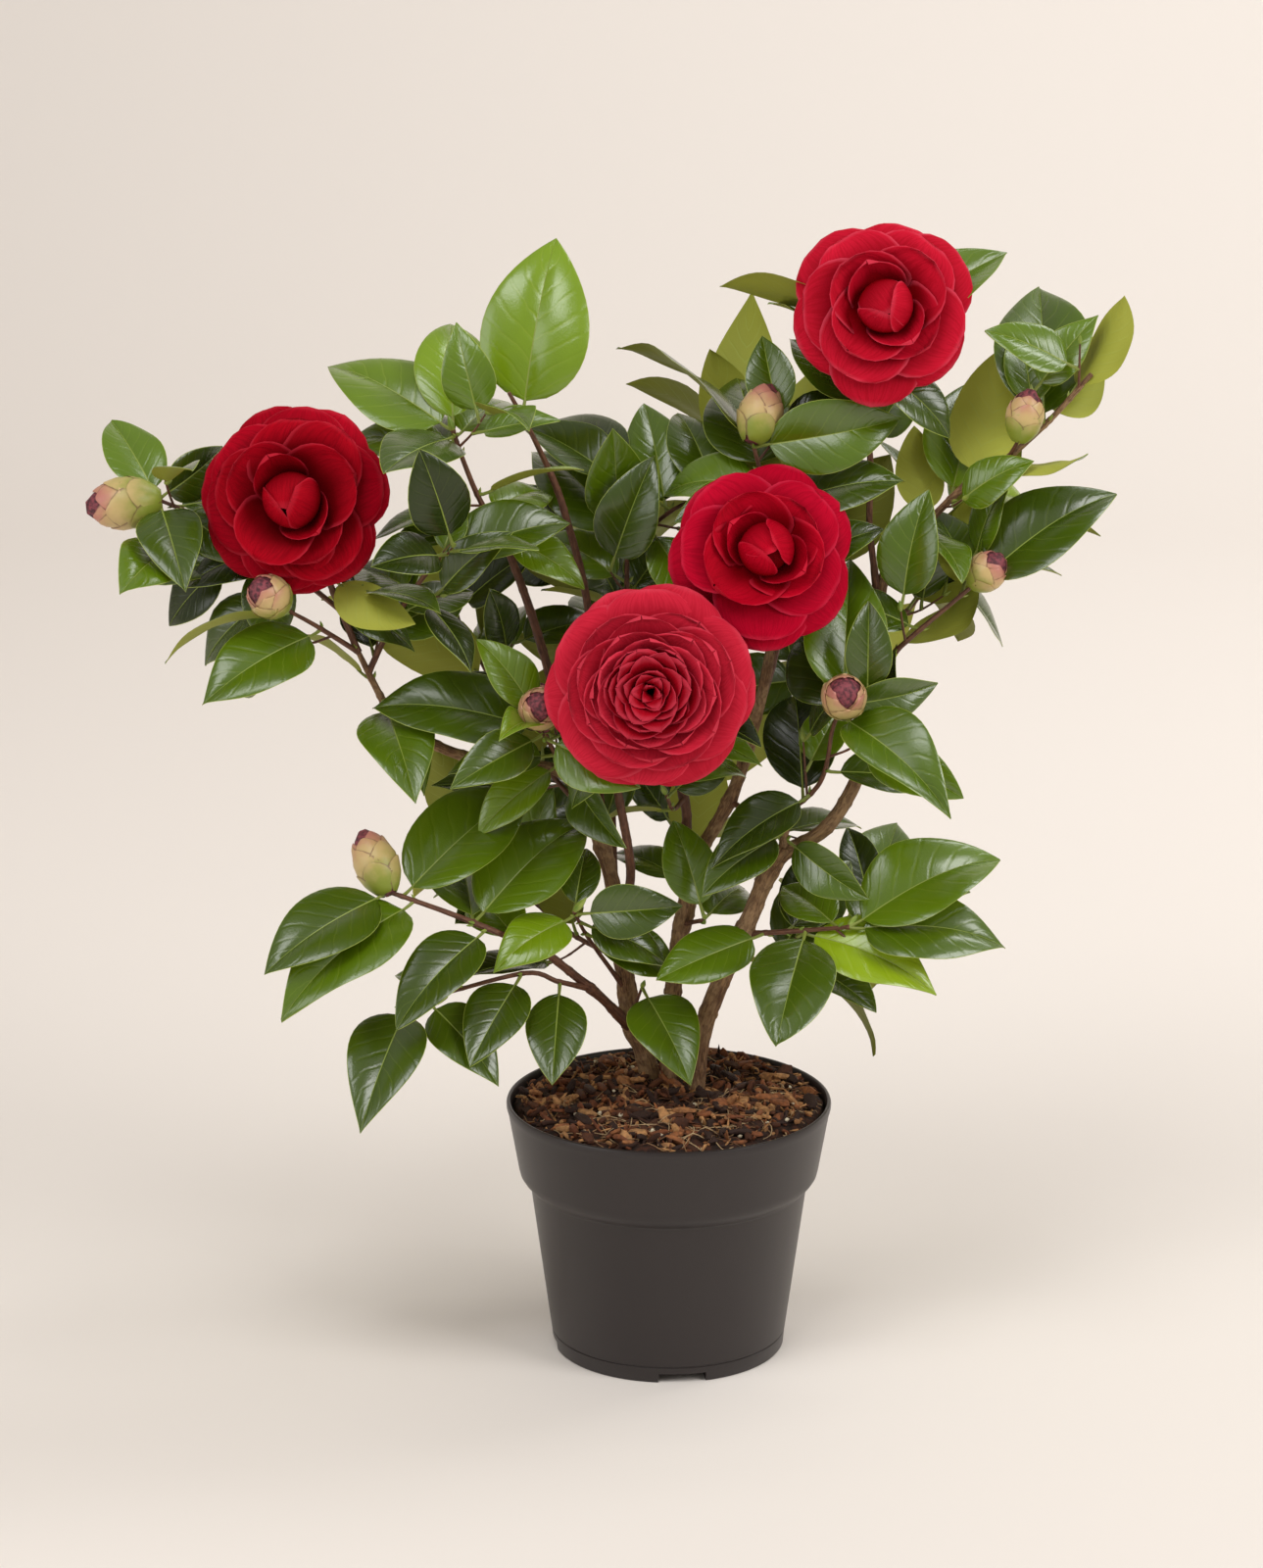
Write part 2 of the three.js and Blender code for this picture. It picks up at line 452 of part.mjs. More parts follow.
function bloom(root, { width, turn, spin, kind }) {
  const face = FRONT.clone().applyAxisAngle(UP, radians(turn[0])).applyAxisAngle(ACROSS, radians(turn[1]));
  const first = facing(face, UP, spin);
  const shells = [heart(root, face, first, width * kind.heart)];
  for (let i = 0; i < kind.petals; i++) {
    const out = first.clone().applyAxisAngle(face, 2 * Math.PI * i / kind.petals);
    const along = out.clone().addScaledVector(face, PETAL.rise).normalize();
    shells.push(blade({
      base: root.clone().addScaledVector(face, PETAL.rise * width / 2), along, up: facing(along, face, 0),
      length: width / 2, width: width / 2 * kind.breadth, thick: PETAL.thick, fold: radians(PETAL.fold),
      arch: PETAL.arch, twist: radians(PETAL.twist),
    }, PETAL.stations, petalOutline));
  }
  return shells;
}

// ---- Masses ----
// First every twig, bloom and bud takes its place; then each leaf looks for a lean that leaves its neighbours
// free, and one that finds none is left out.
const placed = Object.entries(limbs).map(([name, { shell }]) => ({ owner: name, kind: 'wood', shell }));
const put = (owner, kind, shell) => placed.push({ owner, kind, shell });

function growTwig(mass, twig, host, random, leaves) {
  const points = twig.points.map(vector);
  if (host) points.unshift(startOn(host, mass.at, twig.points[0], twig.thick / 2));
  const curve = curveOf(points);
  const tip = twig.bloom ? 0.4 : 0.32;
  put(mass.name, 'wood', stick(curve, 2 * (points.length - 1), [twig.thick / 2, twig.thick * tip], TWIG_SIDES, false));
  for (const [at, heading, length, lift = 0, roll = 0] of twig.leaves) {
    leaves.push(leafForm(curve.getPointAt(at), headingOf(heading, lift), LIGHT, roll, length, random));
  }
  for (const [at, heading, length, width, lift] of twig.buds ?? []) {
    put(mass.name, 'bud', bud(curve.getPointAt(at), headingOf(heading, lift), length, width));
  }
  if (twig.bloom) bloom(curve.getPointAt(1), twig.bloom).forEach((shell) => put(mass.name, 'bloom', shell));
}

// A shoot at the back: it bows upward on its way out, and its leaves stand round it and face out and up.
function growRear(mass, host, random, leaves) {
  const tip = vector(mass.tip);
  const start = host.curve.getPointAt(mass.at);
  const middle = start.clone().lerp(tip, 0.5).addScaledVector(UP, -0.08 * start.distanceTo(tip));
  const foot = startOn(host, mass.at, middle.toArray(), REAR.thick / 2);
  const curve = curveOf([foot, middle, tip]);
  put(mass.name, 'wood', stick(curve, 4, [REAR.thick / 2, REAR.thick * 0.32], TWIG_SIDES, false));
  const outward = new THREE.Vector3(tip.x, tip.y, 0).normalize();
  const way = outward.clone().addScaledVector(UP, 1.1).normalize();
  const count = Math.floor(curve.getLength() * (1 - REAR.bare) / REAR.spacing) + 3;
  for (let i = 0; i < count; i++) {
    const at = Math.min(1, mix(REAR.bare, 1, i / (count - 3)));
    const line = curve.getTangentAt(at);
    const around = facing(line, way, REAR.turn * i);
    const spread = radians(REAR.spread * mix(0.8, 1.15, random()) - (i > count - 3 ? 20 : 0));
    const along = line.clone().multiplyScalar(Math.cos(spread)).addScaledVector(around, Math.sin(spread));
    leaves.push(leafForm(curve.getPointAt(at), along, way, mix(-25, 25, random()),
      mix(...REAR.length, random()), random));
  }
}

const growing = [...MASSES, ...REAR_SHOOTS].map((mass, index) => {
  const random = randomFrom(REAR.seed + index);
  const leaves = [];
  const host = limbs[mass.from];
  if (mass.tip) growRear(mass, host, random, leaves);
  else mass.twigs.forEach((twig, i) => growTwig(mass, twig, i === 0 && host, random, leaves));
  return { name: mass.name, leaves };
});

// A blade may lie against its own twigs and buds, and against nothing else.
const hasRoom = (owner, shell) => !placed.some((other) => crosses(shell, other.shell)
  && (other.owner !== owner || ['leaf', 'bloom'].includes(other.kind)));

for (const { name, leaves } of growing) {
  for (const form of leaves) {
    const lean = LEANS.find((angle) => hasRoom(name, leafRoom(leafShape(form, angle))));
    if (lean === undefined) continue;
    put(name, 'leaf', blade(leafShape(form, lean), LEAF_STATIONS, leafOutline));
  }
}

// ---- The plant ----
const plant = new THREE.Group();
plant.add(mesh('pot', pot(), COLOURS.pot, 0.5));
plant.add(mesh('soil', soil(), COLOURS.soil, 0.95));
for (const [name, { shell }] of Object.entries(limbs)) plant.add(mesh(name, solid(shell), COLOURS.bark, 0.8));
for (const { name } of growing) {
  const shells = placed.filter((piece) => piece.owner === name).map((piece) => piece.shell);
  plant.add(mesh(name, fused(shells), COLOURS.leaf, 0.45));
}

export default plant;
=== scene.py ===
"""Camellia shrub in a nursery pot: stems with bark, twigs, leaves, buds and four double blooms, grown on from
the frame's limbs by the same rule as its solids, with the pot, the bark chips on its soil, and the studio.
The growth works in millimetres and +Z up, and each piece's mesh is made in metres."""
import math

import bpy
import numpy as np
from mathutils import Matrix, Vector


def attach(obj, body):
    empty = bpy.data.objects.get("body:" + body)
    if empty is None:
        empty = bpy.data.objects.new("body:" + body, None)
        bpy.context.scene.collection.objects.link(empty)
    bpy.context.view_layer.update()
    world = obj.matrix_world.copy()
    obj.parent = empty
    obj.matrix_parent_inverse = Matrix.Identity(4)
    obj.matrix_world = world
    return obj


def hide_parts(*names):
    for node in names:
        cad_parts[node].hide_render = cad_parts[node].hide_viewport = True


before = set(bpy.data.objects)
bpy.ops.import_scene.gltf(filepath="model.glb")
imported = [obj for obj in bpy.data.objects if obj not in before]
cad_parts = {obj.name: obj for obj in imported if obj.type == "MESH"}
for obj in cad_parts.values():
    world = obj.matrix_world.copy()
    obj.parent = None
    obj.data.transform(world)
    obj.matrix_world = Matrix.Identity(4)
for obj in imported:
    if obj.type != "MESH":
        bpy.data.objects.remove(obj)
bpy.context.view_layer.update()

MM = 0.001

# ---- Driving sizes, as in the part ----
GAP = 0.3
POT = dict(height=135, rim=85, lip=2.6, collar_top=132, collar_bottom=97.8, collar=78.5, step_bottom=89.6,
           body=72.9, foot=61, wall=2, floor=7)
DRAIN = dict(count=4, turn=-83.6, width=25, depth=5, inner=26, hole_at=42, hole=5)
SOIL = dict(edge=130, middle=136.7, flat=34, shoulder=134.2, shoulder_radius=62)
STEM_FOOT = SOIL["middle"] + GAP
ROOT_FLARE = 1.35
LEAF = dict(stalk=8, stalk_share=0.14, stalk_thick=1.7, width_share=0.65, thick=0.9, clearance=1)
LEAF_STATIONS = [0, 0.26, 0.7, 1]
PETAL = dict(stations=[0, 0.5, 0.86, 1], thick=1.4, rise=0.08, fold=8, arch=-0.05, twist=16)
TWIG_SIDES = 4
LEANS = [0, 10, -10, 20, -20, 30, -30]

LIGHT = np.array([0, -0.6, 0.8])
ACROSS = np.array([1.0, 0, 0])
UPWARD = np.array([0, 0.8, 0.6])
FRONT = np.array([0, -0.966, 0.259])
UP = np.array([0, 0, 1.0])

LIMBS = [
  {"name": "stem_left", "on": "soil", "radii": [5, 3.6], "sides": 8,
    "points": [[-9, 26, STEM_FOOT], [-14, 24, 155], [-20, 22, 172], [-22, 24, 189], [-29, 25, 243],
      [-39, 22, 279], [-47, 20, 299]]},
  {"name": "stem_centre", "on": "soil", "radii": [5, 3.8], "sides": 8,
    "points": [[1, 17, STEM_FOOT], [1, 17, 160], [2, 16, 187], [5, 18, 215], [9, 18, 234], [13, 20, 258]]},
  {"name": "stem_right", "on": "soil", "radii": [5.2, 4.3], "sides": 8,
    "points": [[13.5, 11, STEM_FOOT], [17, 10, 165], [25, 8, 191], [42, 0, 234], [50, 0, 255],
      [57, 0, 267]]},
  {"name": "bough_right", "from": "stem_right", "at": 1, "radii": [3.9, 2.7], "sides": 7,
    "points": [[82, 0, 283], [99, 5, 314], [104, 8, 355], [109, 10, 411], [123, 5, 433]]},
  {"name": "bough_left", "from": "stem_left", "at": 1, "radii": [3.2, 2.5], "sides": 7,
    "points": [[-62, 17, 309], [-108, 10, 318], [-141, 0, 338]]},
  {"name": "bough_upper_left", "from": "stem_left", "at": 0.9, "radii": [2.6, 2], "sides": 6,
    "points": [[-56, 27, 335], [-70, 20, 387], [-83, 10, 428]]},
  {"name": "bough_lone", "from": "stem_left", "at": 0.78, "radii": [2.4, 1.8], "sides": 6,
    "points": [[-38, 40, 320], [-42, 36, 390], [-54, 25, 443], [-61, 20, 464]]},
  {"name": "bough_centre", "from": "stem_centre", "at": 1, "radii": [3.6, 2.4], "sides": 7,
    "points": [[33, 20, 295], [46, 10, 344], [53, -10, 390]]},
  {"name": "bough_rear", "from": "stem_centre", "at": 0.9, "radii": [2.4, 1.9], "sides": 6,
    "points": [[8, 24, 290], [-6, 31, 340], [-22, 40, 378]]},
  {"name": "bough_crown", "from": "bough_centre", "at": 0.45, "radii": [2.3, 1.8], "sides": 6,
    "points": [[55, 24, 372], [58, 22, 403], [53, 10, 446]]},
  {"name": "bough_front", "from": "stem_left", "at": 0.5, "radii": [2.4, 2.1], "sides": 6,
    "points": [[-20, 8, 258], [-27, -5, 305]]},
  {"name": "bough_low", "from": "stem_left", "at": 0.17, "radii": [2.6, 2.1], "sides": 6,
    "points": [[-38, 5, 191], [-62, -15, 218]]},
]

# leaves: [share of the twig's length, heading in the leaf plane (0 right, 90 up), length with its stalk,
# lift toward the light, roll about its own line]. buds: [share, heading, length, width, lift].
# A bloom sits on its twig's end: its width, the way it turns from the front, and its kind. A kind has an
# outer ring of petals, each as broad as a share of the half width, round a heart of a share of the width.
DOUBLE = {"petals": 8, "breadth": 0.74, "heart": 0.8}
FORMAL = {"petals": 10, "breadth": 0.62, "heart": 0.84}
MASSES = [
  {"name": "bloom_main", "from": "bough_front", "at": 1, "twigs": [
    {"thick": 4.2, "points": [[-24, -25, 338], [-9, -62, 371]],
      "leaves": [[0.05, 125, 50], [0.25, 10, 72, -20], [0.7, 215, 62, -45]],
      "bloom": {"width": 114, "turn": [-3, 7], "spin": 10, "kind": FORMAL}}]},
  {"name": "bloom_centre", "from": "bough_centre", "at": 1, "twigs": [
    {"thick": 3.8, "points": [[53, -18, 412], [46, -32, 432]],
      "leaves": [[0.3, 30, 62, -35], [0.4, 150, 60, -40]],
      "bloom": {"width": 99, "turn": [4, -8], "spin": 25, "kind": DOUBLE}}]},
  {"name": "shoot_left", "from": "bough_left", "at": 1, "twigs": [
    {"thick": 4.4, "points": [[-150, -5, 358], [-158, -10, 377]],
      "leaves": [[0.25, 285, 70, 10], [0.35, 297, 54, -20, -30], [0.6, 140, 50, 0, 70]]},
    {"thick": 3.6, "points": [[-158, -10, 377], [-166, -13, 399], [-187, -22, 457]],
      "leaves": [[0.5, 322, 56, 0, 180], [0.4, 340, 50, -30], [0.7, 60, 58, -40], [0.8, 130, 60, -45]],
      "bloom": {"width": 104, "turn": [-4, 0], "spin": 0, "kind": DOUBLE}},
    {"thick": 3, "points": [[-158, -10, 377], [-178, -25, 394], [-194, -36, 406]],
      "leaves": [[0.5, 220, 72], [0.9, 188, 66, -15, 55]], "buds": [[1, 195, 26, 23, 60]]},
    {"thick": 3, "points": [[-166, -13, 399], [-214, 2, 433], [-257, -8, 455]],
      "leaves": [[1, 117, 60], [1, 286, 60], [1, 50, 46, 0, 60], [0.93, 25, 46, -25], [0.9, 318, 48, 0, 45],
        [0.5, 80, 50, -30], [0.45, 275, 50, -40]],
      "buds": [[1, 188, 38, 28, 0]]},
    {"thick": 3.4, "points": [[-153, -7, 366], [-140, -10, 393], [-124, -20, 418], [-109, -25, 436]],
      "leaves": [[0.35, 76, 82, 0, -50], [0.8, 25, 74], [0.9, 75, 30], [0.42, 38, 48, -20],
        [0.6, 120, 50, -35]],
      "buds": [[0.82, 150, 13, 8, 20]]}]},
  {"name": "shoot_upper_left", "from": "bough_upper_left", "at": 1, "twigs": [
    {"thick": 3.4, "points": [[-96, 5, 452], [-104, 0, 473], [-109, -5, 490]],
      "leaves": [[1, 142, 80], [1, 92, 68], [0.95, 240, 70, 30], [0.8, 165, 56], [0.9, 135, 66, -35],
        [0.95, 62, 60, -25], [0.45, 20, 54, 0, -50], [0.3, 48, 54, -25], [0.2, 185, 56, -20],
        [0.1, 330, 50, -10]]}]},
  {"name": "shoot_lone_leaf", "from": "bough_lone", "at": 1, "twigs": [
    {"thick": 3.2, "points": [[-71, 12, 487], [-81, 5, 507]],
      "leaves": [[0.7, 78, 90, 35]]}]},
  {"name": "shoot_top_bloom", "from": "bough_right", "at": 0.76, "twigs": [
    {"thick": 3.6, "points": [[101, 6, 440], [101, 5, 471], [98, 0, 506], [105, -6, 551]],
      "leaves": [[0.62, 125, 62], [0.93, 157, 86, 0, 60], [0.75, 132, 76, 0, 40], [0.93, 38, 82],
        [0.5, 62, 56, 0, 50], [0.3, 150, 54, -20], [0.8, 330, 54, -30]],
      "bloom": {"width": 99, "turn": [2, 0], "spin": 18, "kind": DOUBLE}}]},
  {"name": "shoot_crown", "from": "bough_crown", "at": 1, "twigs": [
    {"thick": 3, "points": [[46, 4, 466], [41, 0, 484]],
      "leaves": [[1, 128, 94, 0, 55], [0.55, 97, 84, -10], [0.9, 5, 72, 10, 50], [0.2, 75, 78, -10, 180],
        [0.05, 15, 68], [0.3, 205, 50, 0], [0.4, 160, 60, -25]],
      "buds": [[1, 70, 32, 24, 25]]}]},
  {"name": "shoot_rear", "from": "bough_rear", "at": 1, "twigs": [
    {"thick": 3, "points": [[-22, 38, 420], [-24, 32, 456]],
      "leaves": [[1, 120, 84, -20], [1, 142, 64], [0.62, 127, 80], [0.65, 162, 62, 0, 50], [0.3, 142, 54],
        [0.2, 58, 52], [0.1, 160, 48, 0, 50], [0.95, 80, 50, -30]]},
    {"thick": 2.6, "points": [[-22, 38, 420], [2, 32, 442], [24, 26, 452]],
      "leaves": [[0.5, 100, 66, 10], [1, 108, 62], [1, 70, 62, -20], [0.55, 140, 44, 0, 180], [0.9, 20, 56],
        [0.3, 300, 50, -20]]}]},
  {"name": "shoot_right", "from": "bough_right", "at": 1, "twigs": [
    {"thick": 4, "points": [[149, 0, 461], [167, -5, 474], [189, -5, 494], [210, -5, 518]],
      "leaves": [[0.08, 97, 50, 25, 180], [0.22, 80, 82, -15], [0.32, 75, 76, 0, 180],
        [0.45, 348, 48, 20, 150], [0.55, 337, 74, 0, 160], [0.72, 88, 96], [0.75, 52, 48, 0, 180],
        [0.87, 66, 56, 0, 150], [0.92, 47, 80, 0, 35], [0.05, 300, 46, 0, -30], [0.3, 20, 50, -35]]},
    {"thick": 2.6, "points": [[170, -5, 476], [174, -14, 487]], "leaves": [],
      "buds": [[1, 70, 27, 20, 50]]}]},
  {"name": "shoot_right_bud", "from": "bough_right", "at": 0.58, "twigs": [
    {"thick": 3.2, "points": [[118, -7, 380], [153, -15, 413]],
      "leaves": [[0.88, 76, 72, 0, 180], [1, 42, 84], [0.25, 42, 58, 0, 150], [0.5, 150, 50, -10]],
      "buds": [[1, 20, 23, 21, 50]]}]},
  {"name": "shoot_glossy", "from": "bough_centre", "at": 0.25, "twigs": [
    {"thick": 3, "points": [[50, 4, 284], [76, -10, 307], [82, -28, 341], [86, -40, 356]],
      "leaves": [[0.4, 92, 74], [0.6, 0, 58, -10], [0.93, 103, 66, 0, -45], [1, 86, 80, 20],
        [1, 15, 50, 0, 60], [0.95, 312, 78], [0.45, 215, 62, -10]],
      "buds": [[1, 280, 26, 24, 75], [0.25, 150, 9, 6, 10]]}]},
  {"name": "shoot_left_front", "from": "stem_left", "at": 0.97, "twigs": [
    {"thick": 3, "points": [[-60, -8, 326], [-66, -36, 350]],
      "leaves": [[0.8, 167, 84], [0.9, 238, 44, 40], [0.4, 190, 54], [0.3, 215, 54, -20],
        [0.15, 300, 54, 0, 50], [1, 135, 48, 30], [0.6, 60, 50, -35]],
      "buds": [[1, 280, 24, 23, 70], [0.8, 95, 26, 20, 15]]}]},
  {"name": "shoot_lower_right", "from": "stem_right", "at": 0.66, "twigs": [
    {"thick": 3, "points": [[62, -10, 229], [92, -22, 235]],
      "leaves": [[0.12, 208, 62], [0.55, 258, 80, 12], [0.5, 334, 74], [1, 356, 78], [1, 33, 86],
        [1, 45, 66, -25], [0.9, 125, 50, -20], [0.35, 60, 50, -25]],
      "buds": [[1, 60, 9, 6, 0]]}]},
  {"name": "shoot_fork", "from": "stem_right", "at": 0.93, "twigs": [
    {"thick": 5, "points": [[58, -6, 272], [60, -8, 284]],
      "leaves": [[0.6, 322, 52, -10, 50], [0.5, 345, 50, -20], [0.9, 228, 54, 10]]}]},
  {"name": "shoot_centre_low", "from": "bough_rear", "at": 0.15, "twigs": [
    {"thick": 2.6, "points": [[2, 6, 290], [-2, 0, 300]],
      "leaves": [[0.7, 165, 50], [0.6, 190, 40, 0, 50], [0.9, 50, 52, 0, 40]]}]},
  {"name": "shoot_centre_front", "from": "stem_centre", "at": 0.72, "twigs": [
    {"thick": 2.6, "points": [[17, 0, 232], [18, -8, 236]],
      "leaves": [[1, 102, 52, -10], [0.5, 140, 50, -25], [0.8, 60, 50, -25]]}]},
  {"name": "shoot_lower_left", "from": "bough_low", "at": 1, "twigs": [
    {"thick": 3.6, "points": [[-89, -30, 235], [-114, -35, 247], [-143, -39, 259]],
      "leaves": [[0.5, 98, 78, -25], [0.5, 52, 88], [0.42, 232, 70], [0.92, 50, 92], [0.85, 226, 90],
        [1, 218, 78], [0.2, 120, 52, -20]],
      "buds": [[1, 115, 36, 24, 20]]}]},
  {"name": "shoot_foot_left", "from": "bough_low", "at": 0.4, "twigs": [
    {"thick": 2.8, "points": [[-58, -16, 204], [-74, -21, 210], [-115, -30, 202], [-134, -35, 198]],
      "leaves": [[0.38, 246, 60], [0.15, 267, 60], [1, 254, 76], [0.9, 306, 58], [0.7, 150, 44, -20]],
      "buds": [[0.8, 170, 19, 14, -10]]}]},
  {"name": "shoot_low_centre", "from": "stem_left", "at": 0.3, "twigs": [
    {"thick": 2.6, "points": [[-42, 5, 221], [-49, -18, 242]],
      "leaves": [[0.95, 218, 54], [1, 82, 42], [0.95, 5, 54, 0, 40], [0.8, 345, 50, -20],
        [0.6, 0, 54, -35]],
      "buds": [[1, 40, 9, 6, 30]]}]},
  {"name": "shoot_foot", "from": "stem_left", "at": 0.22, "twigs": [
    {"thick": 2.2, "points": [[-14, 8, 193]], "leaves": [[1, 292, 64, 5]]}]},
]

REAR = {"bare": 0.3, "spacing": 17, "length": [58, 78], "turn": 137.5, "spread": 62, "thick": 3, "seed": 11}
REAR_SHOOTS = [
  {"name": "rear_left", "from": "stem_left", "at": 0.86, "tip": [-112, 92, 372]},
  {"name": "rear_centre", "from": "stem_left", "at": 0.6, "tip": [-32, 128, 392]},
  {"name": "rear_right", "from": "bough_right", "at": 0.35, "tip": [78, 108, 392]},
  {"name": "rear_low_left", "from": "stem_left", "at": 0.4, "tip": [-92, 92, 238]},
  {"name": "rear_low_right", "from": "stem_right", "at": 0.55, "tip": [102, 90, 200]},
  {"name": "rear_middle", "from": "stem_centre", "at": 0.8, "tip": [22, 128, 300]},
  {"name": "rear_top_right", "from": "bough_right", "at": 0.68, "tip": [152, 76, 424]},
  {"name": "rear_top", "from": "bough_crown", "at": 0.7, "tip": [34, 96, 466]},
]

# ---- Small tools ----
def unit(v):
    return v / np.linalg.norm(v)


def mix(a, b, share):
    return a + (b - a) * share


def turned(v, axis, angle):
    """v turned about an axis of length one, in radians."""
    return (v * math.cos(angle) + np.cross(axis, v) * math.sin(angle)
            + axis * np.dot(axis, v) * (1 - math.cos(angle)))


def random_from(seed):
    """The same numbers every time, and the same as the part's."""
    state = [seed * 7919 + 101]

    def draw():
        state[0] = state[0] * 16807 % 2147483647
        return state[0] / 2147483647

    return draw


def between(draw, low, high):
    return mix(low, high, draw())


def facing(along, way, roll=0):
    """The upper side of something that runs along a line and turns to face a given way."""
    return turned(unit(way - along * np.dot(way, along)), along, math.radians(roll))


def spread_from(ahead, way, turn, spread):
    """A way that leaves the line it grows from by an angle, at a turn round it. Both are in degrees."""
    spread = math.radians(spread)
    return ahead * math.cos(spread) + facing(ahead, way, turn) * math.sin(spread)


def sides_of(along):
    """Two ways across a bud that points along a line."""
    up = facing(along, FRONT if abs(along[2]) > 0.9 else UP)
    return up, np.cross(along, up)


def spaced(count):
    """Even turns round a circle."""
    return np.linspace(0, 2 * math.pi, count, endpoint=False)


def middle_of(shape, share=0.5):
    return shape["base"] + shape["along"] * shape["length"] * share


class Line:
    """A smooth curve through its points, walked by its own length."""

    def __init__(self, points, radii=(1, 1)):
        self.points = np.array(points, float)
        self.radii = radii
        self.shares = np.linspace(0, 1, 201)
        spots = np.array([self.spot(t) for t in self.shares])
        steps = np.linalg.norm(np.diff(spots, axis=0), axis=1)
        self.reach = np.concatenate([[0], np.cumsum(steps)])
        self.length = self.reach[-1]

    def spot(self, t):
        p = self.points
        last = len(p) - 1
        i = min(int(t * last), last - 1)
        w = t * last - i
        before = p[i - 1] if i > 0 else 2 * p[0] - p[1]
        after = p[i + 2] if i + 2 <= last else 2 * p[last] - p[last - 1]
        a, b = (p[i + 1] - before) / 2, (after - p[i]) / 2
        c, d = 3 * (p[i + 1] - p[i]) - 2 * a - b, 2 * (p[i] - p[i + 1]) + a + b
        return p[i] + a * w + c * w * w + d * w * w * w

    def mapped(self, share):
        return float(np.interp(share * self.length, self.reach, self.shares))

    def at(self, share):
        return self.spot(self.mapped(share))

    def way(self, share):
        t = self.mapped(share)
        return unit(self.spot(min(1, t + 1e-4)) - self.spot(max(0, t - 1e-4)))

    def radius(self, share):
        return mix(self.radii[0], self.radii[1], share)

    def frames(self, steps):
        """Where the curve points and what lies across it, at even steps, without a twist."""
        ways = [self.way(i / steps) for i in range(steps + 1)]
        size = np.abs(ways[0])
        least = max(i for i in range(3) if size[i] <= size.min())
        outs = [np.cross(ways[0], unit(np.cross(ways[0], np.eye(3)[least])))]
        for one, other in zip(ways, ways[1:]):
            axis, out = np.cross(one, other), outs[-1]
            if np.linalg.norm(axis) > 1e-12:
                out = turned(out, unit(axis), math.acos(max(-1, min(1, float(np.dot(one, other))))))
            outs.append(out)
        return ways, outs


# ---- Plain shells: what each limb, twig, leaf and petal takes of the room, to see who meets whom ----
def ring_shell(sides, steps, place, thin=False):
    """A closed shell swept through rings, as triangles with their own box. The two sides of a thin blade stay
    parallel only where every other strip is cut along its other diagonal."""
    turn = [2 * math.pi * k / sides for k in range(sides)]
    rings = np.array([[place(step, math.sin(a), math.cos(a)) for a in turn] for step in range(steps + 1)])
    low, high = rings[:-1], rings[1:]
    low_next, high_next = np.roll(low, -1, axis=1), np.roll(high, -1, axis=1)
    faces = [np.stack([high, low, high_next], axis=2), np.stack([low, low_next, high_next], axis=2)]
    if thin:
        faces[0][:, 1::2] = np.stack([high, low, low_next], axis=2)[:, 1::2]
        faces[1][:, 1::2] = np.stack([high, low_next, high_next], axis=2)[:, 1::2]
    faces = [part.reshape(-1, 3, 3) for part in faces]
    for step in (0, steps):
        middle = np.broadcast_to(place(step, 0, 0), (sides, 3))
        faces.append(np.stack([rings[step], np.roll(rings[step], -1, axis=0), middle], axis=1))
    faces = np.concatenate(faces)
    keep = np.linalg.norm(np.cross(faces[:, 1] - faces[:, 0], faces[:, 2] - faces[:, 0]), axis=1) > 1e-9
    faces = faces[keep]
    edges = np.concatenate([faces[:, [0, 1]], faces[:, [1, 2]], faces[:, [2, 0]]])
    return dict(faces=faces, edges=edges, low=rings.min((0, 1)), high=rings.max((0, 1)))


def pierces(one, other):
    """Does an edge of one shell pass through a face of the other?"""
    start, way = one["edges"][:, 0], one["edges"][:, 1] - one["edges"][:, 0]
    a, b, c = other["faces"].transpose(1, 0, 2)
    ab, ac = b - a, c - a
    normal = np.cross(ab, ac)
    slope = way @ normal.T
    off = start[:, None] - a[None]
    with np.errstate(divide="ignore", invalid="ignore"):
        on = -np.einsum("etk,tk->et", off, normal) / slope
        u = np.einsum("ek,etk->et", way, np.cross(off, ac[None])) / slope
        v = np.einsum("ek,etk->et", way, np.cross(ab[None], off)) / slope
        return bool(((u >= 0) & (v >= 0) & (u + v <= 1) & (on >= 0) & (on <= 1)).any())


def crosses(one, other):
    if (one["low"] > other["high"]).any() or (other["low"] > one["high"]).any():
        return False
    return pierces(one, other) or pierces(other, one)


def stick_shell(line, steps, sides, upright=False, flare=1):
    ways, outs = line.frames(steps)

    def place(step, x, z):
        along = UP if upright and step == 0 else ways[step]
        out = unit(outs[step] - along * np.dot(outs[step], along))
        radius = line.radius(step / steps) * (flare if step == 0 else 1)
        return line.at(step / steps) + (np.cross(along, out) * x + out * z) * radius

    return ring_shell(sides, steps, place)


def blade_shell(shape, stations, outline):
    """A leaf or petal as the part has it: a thin lens across a midrib that arches over its chord."""
    base, along, up, length = shape["base"], shape["along"], shape["up"], shape["length"]
    aside, stalk = np.cross(along, up), shape.get("stalk", 0)
    stops = [-stalk / length, *stations] if stalk else stations

    def place(step, x, z):
        share = stops[step]
        open_, on_stalk = 0 < share < 1, stalk and share <= 0
        half = shape["width"] / 2 * outline(share) if open_ else LEAF["stalk_thick"] / 2 if on_stalk else 0
        body = shape["thick"] / 2 if open_ else half
        turn = shape["twist"] * (share - 0.5) if open_ else 0
        bend = shape["fold"] if open_ else 0
        side = aside * math.cos(turn) + up * math.sin(turn)
        lift = half * abs(x) * math.sin(bend)
        if open_:
            lift += 4 * shape["arch"] * length * share * (1 - share)
        return base + along * length * share + side * x * half * math.cos(bend) + up * (lift + z * body)

    return ring_shell(4, len(stops) - 1, place, thin=True)


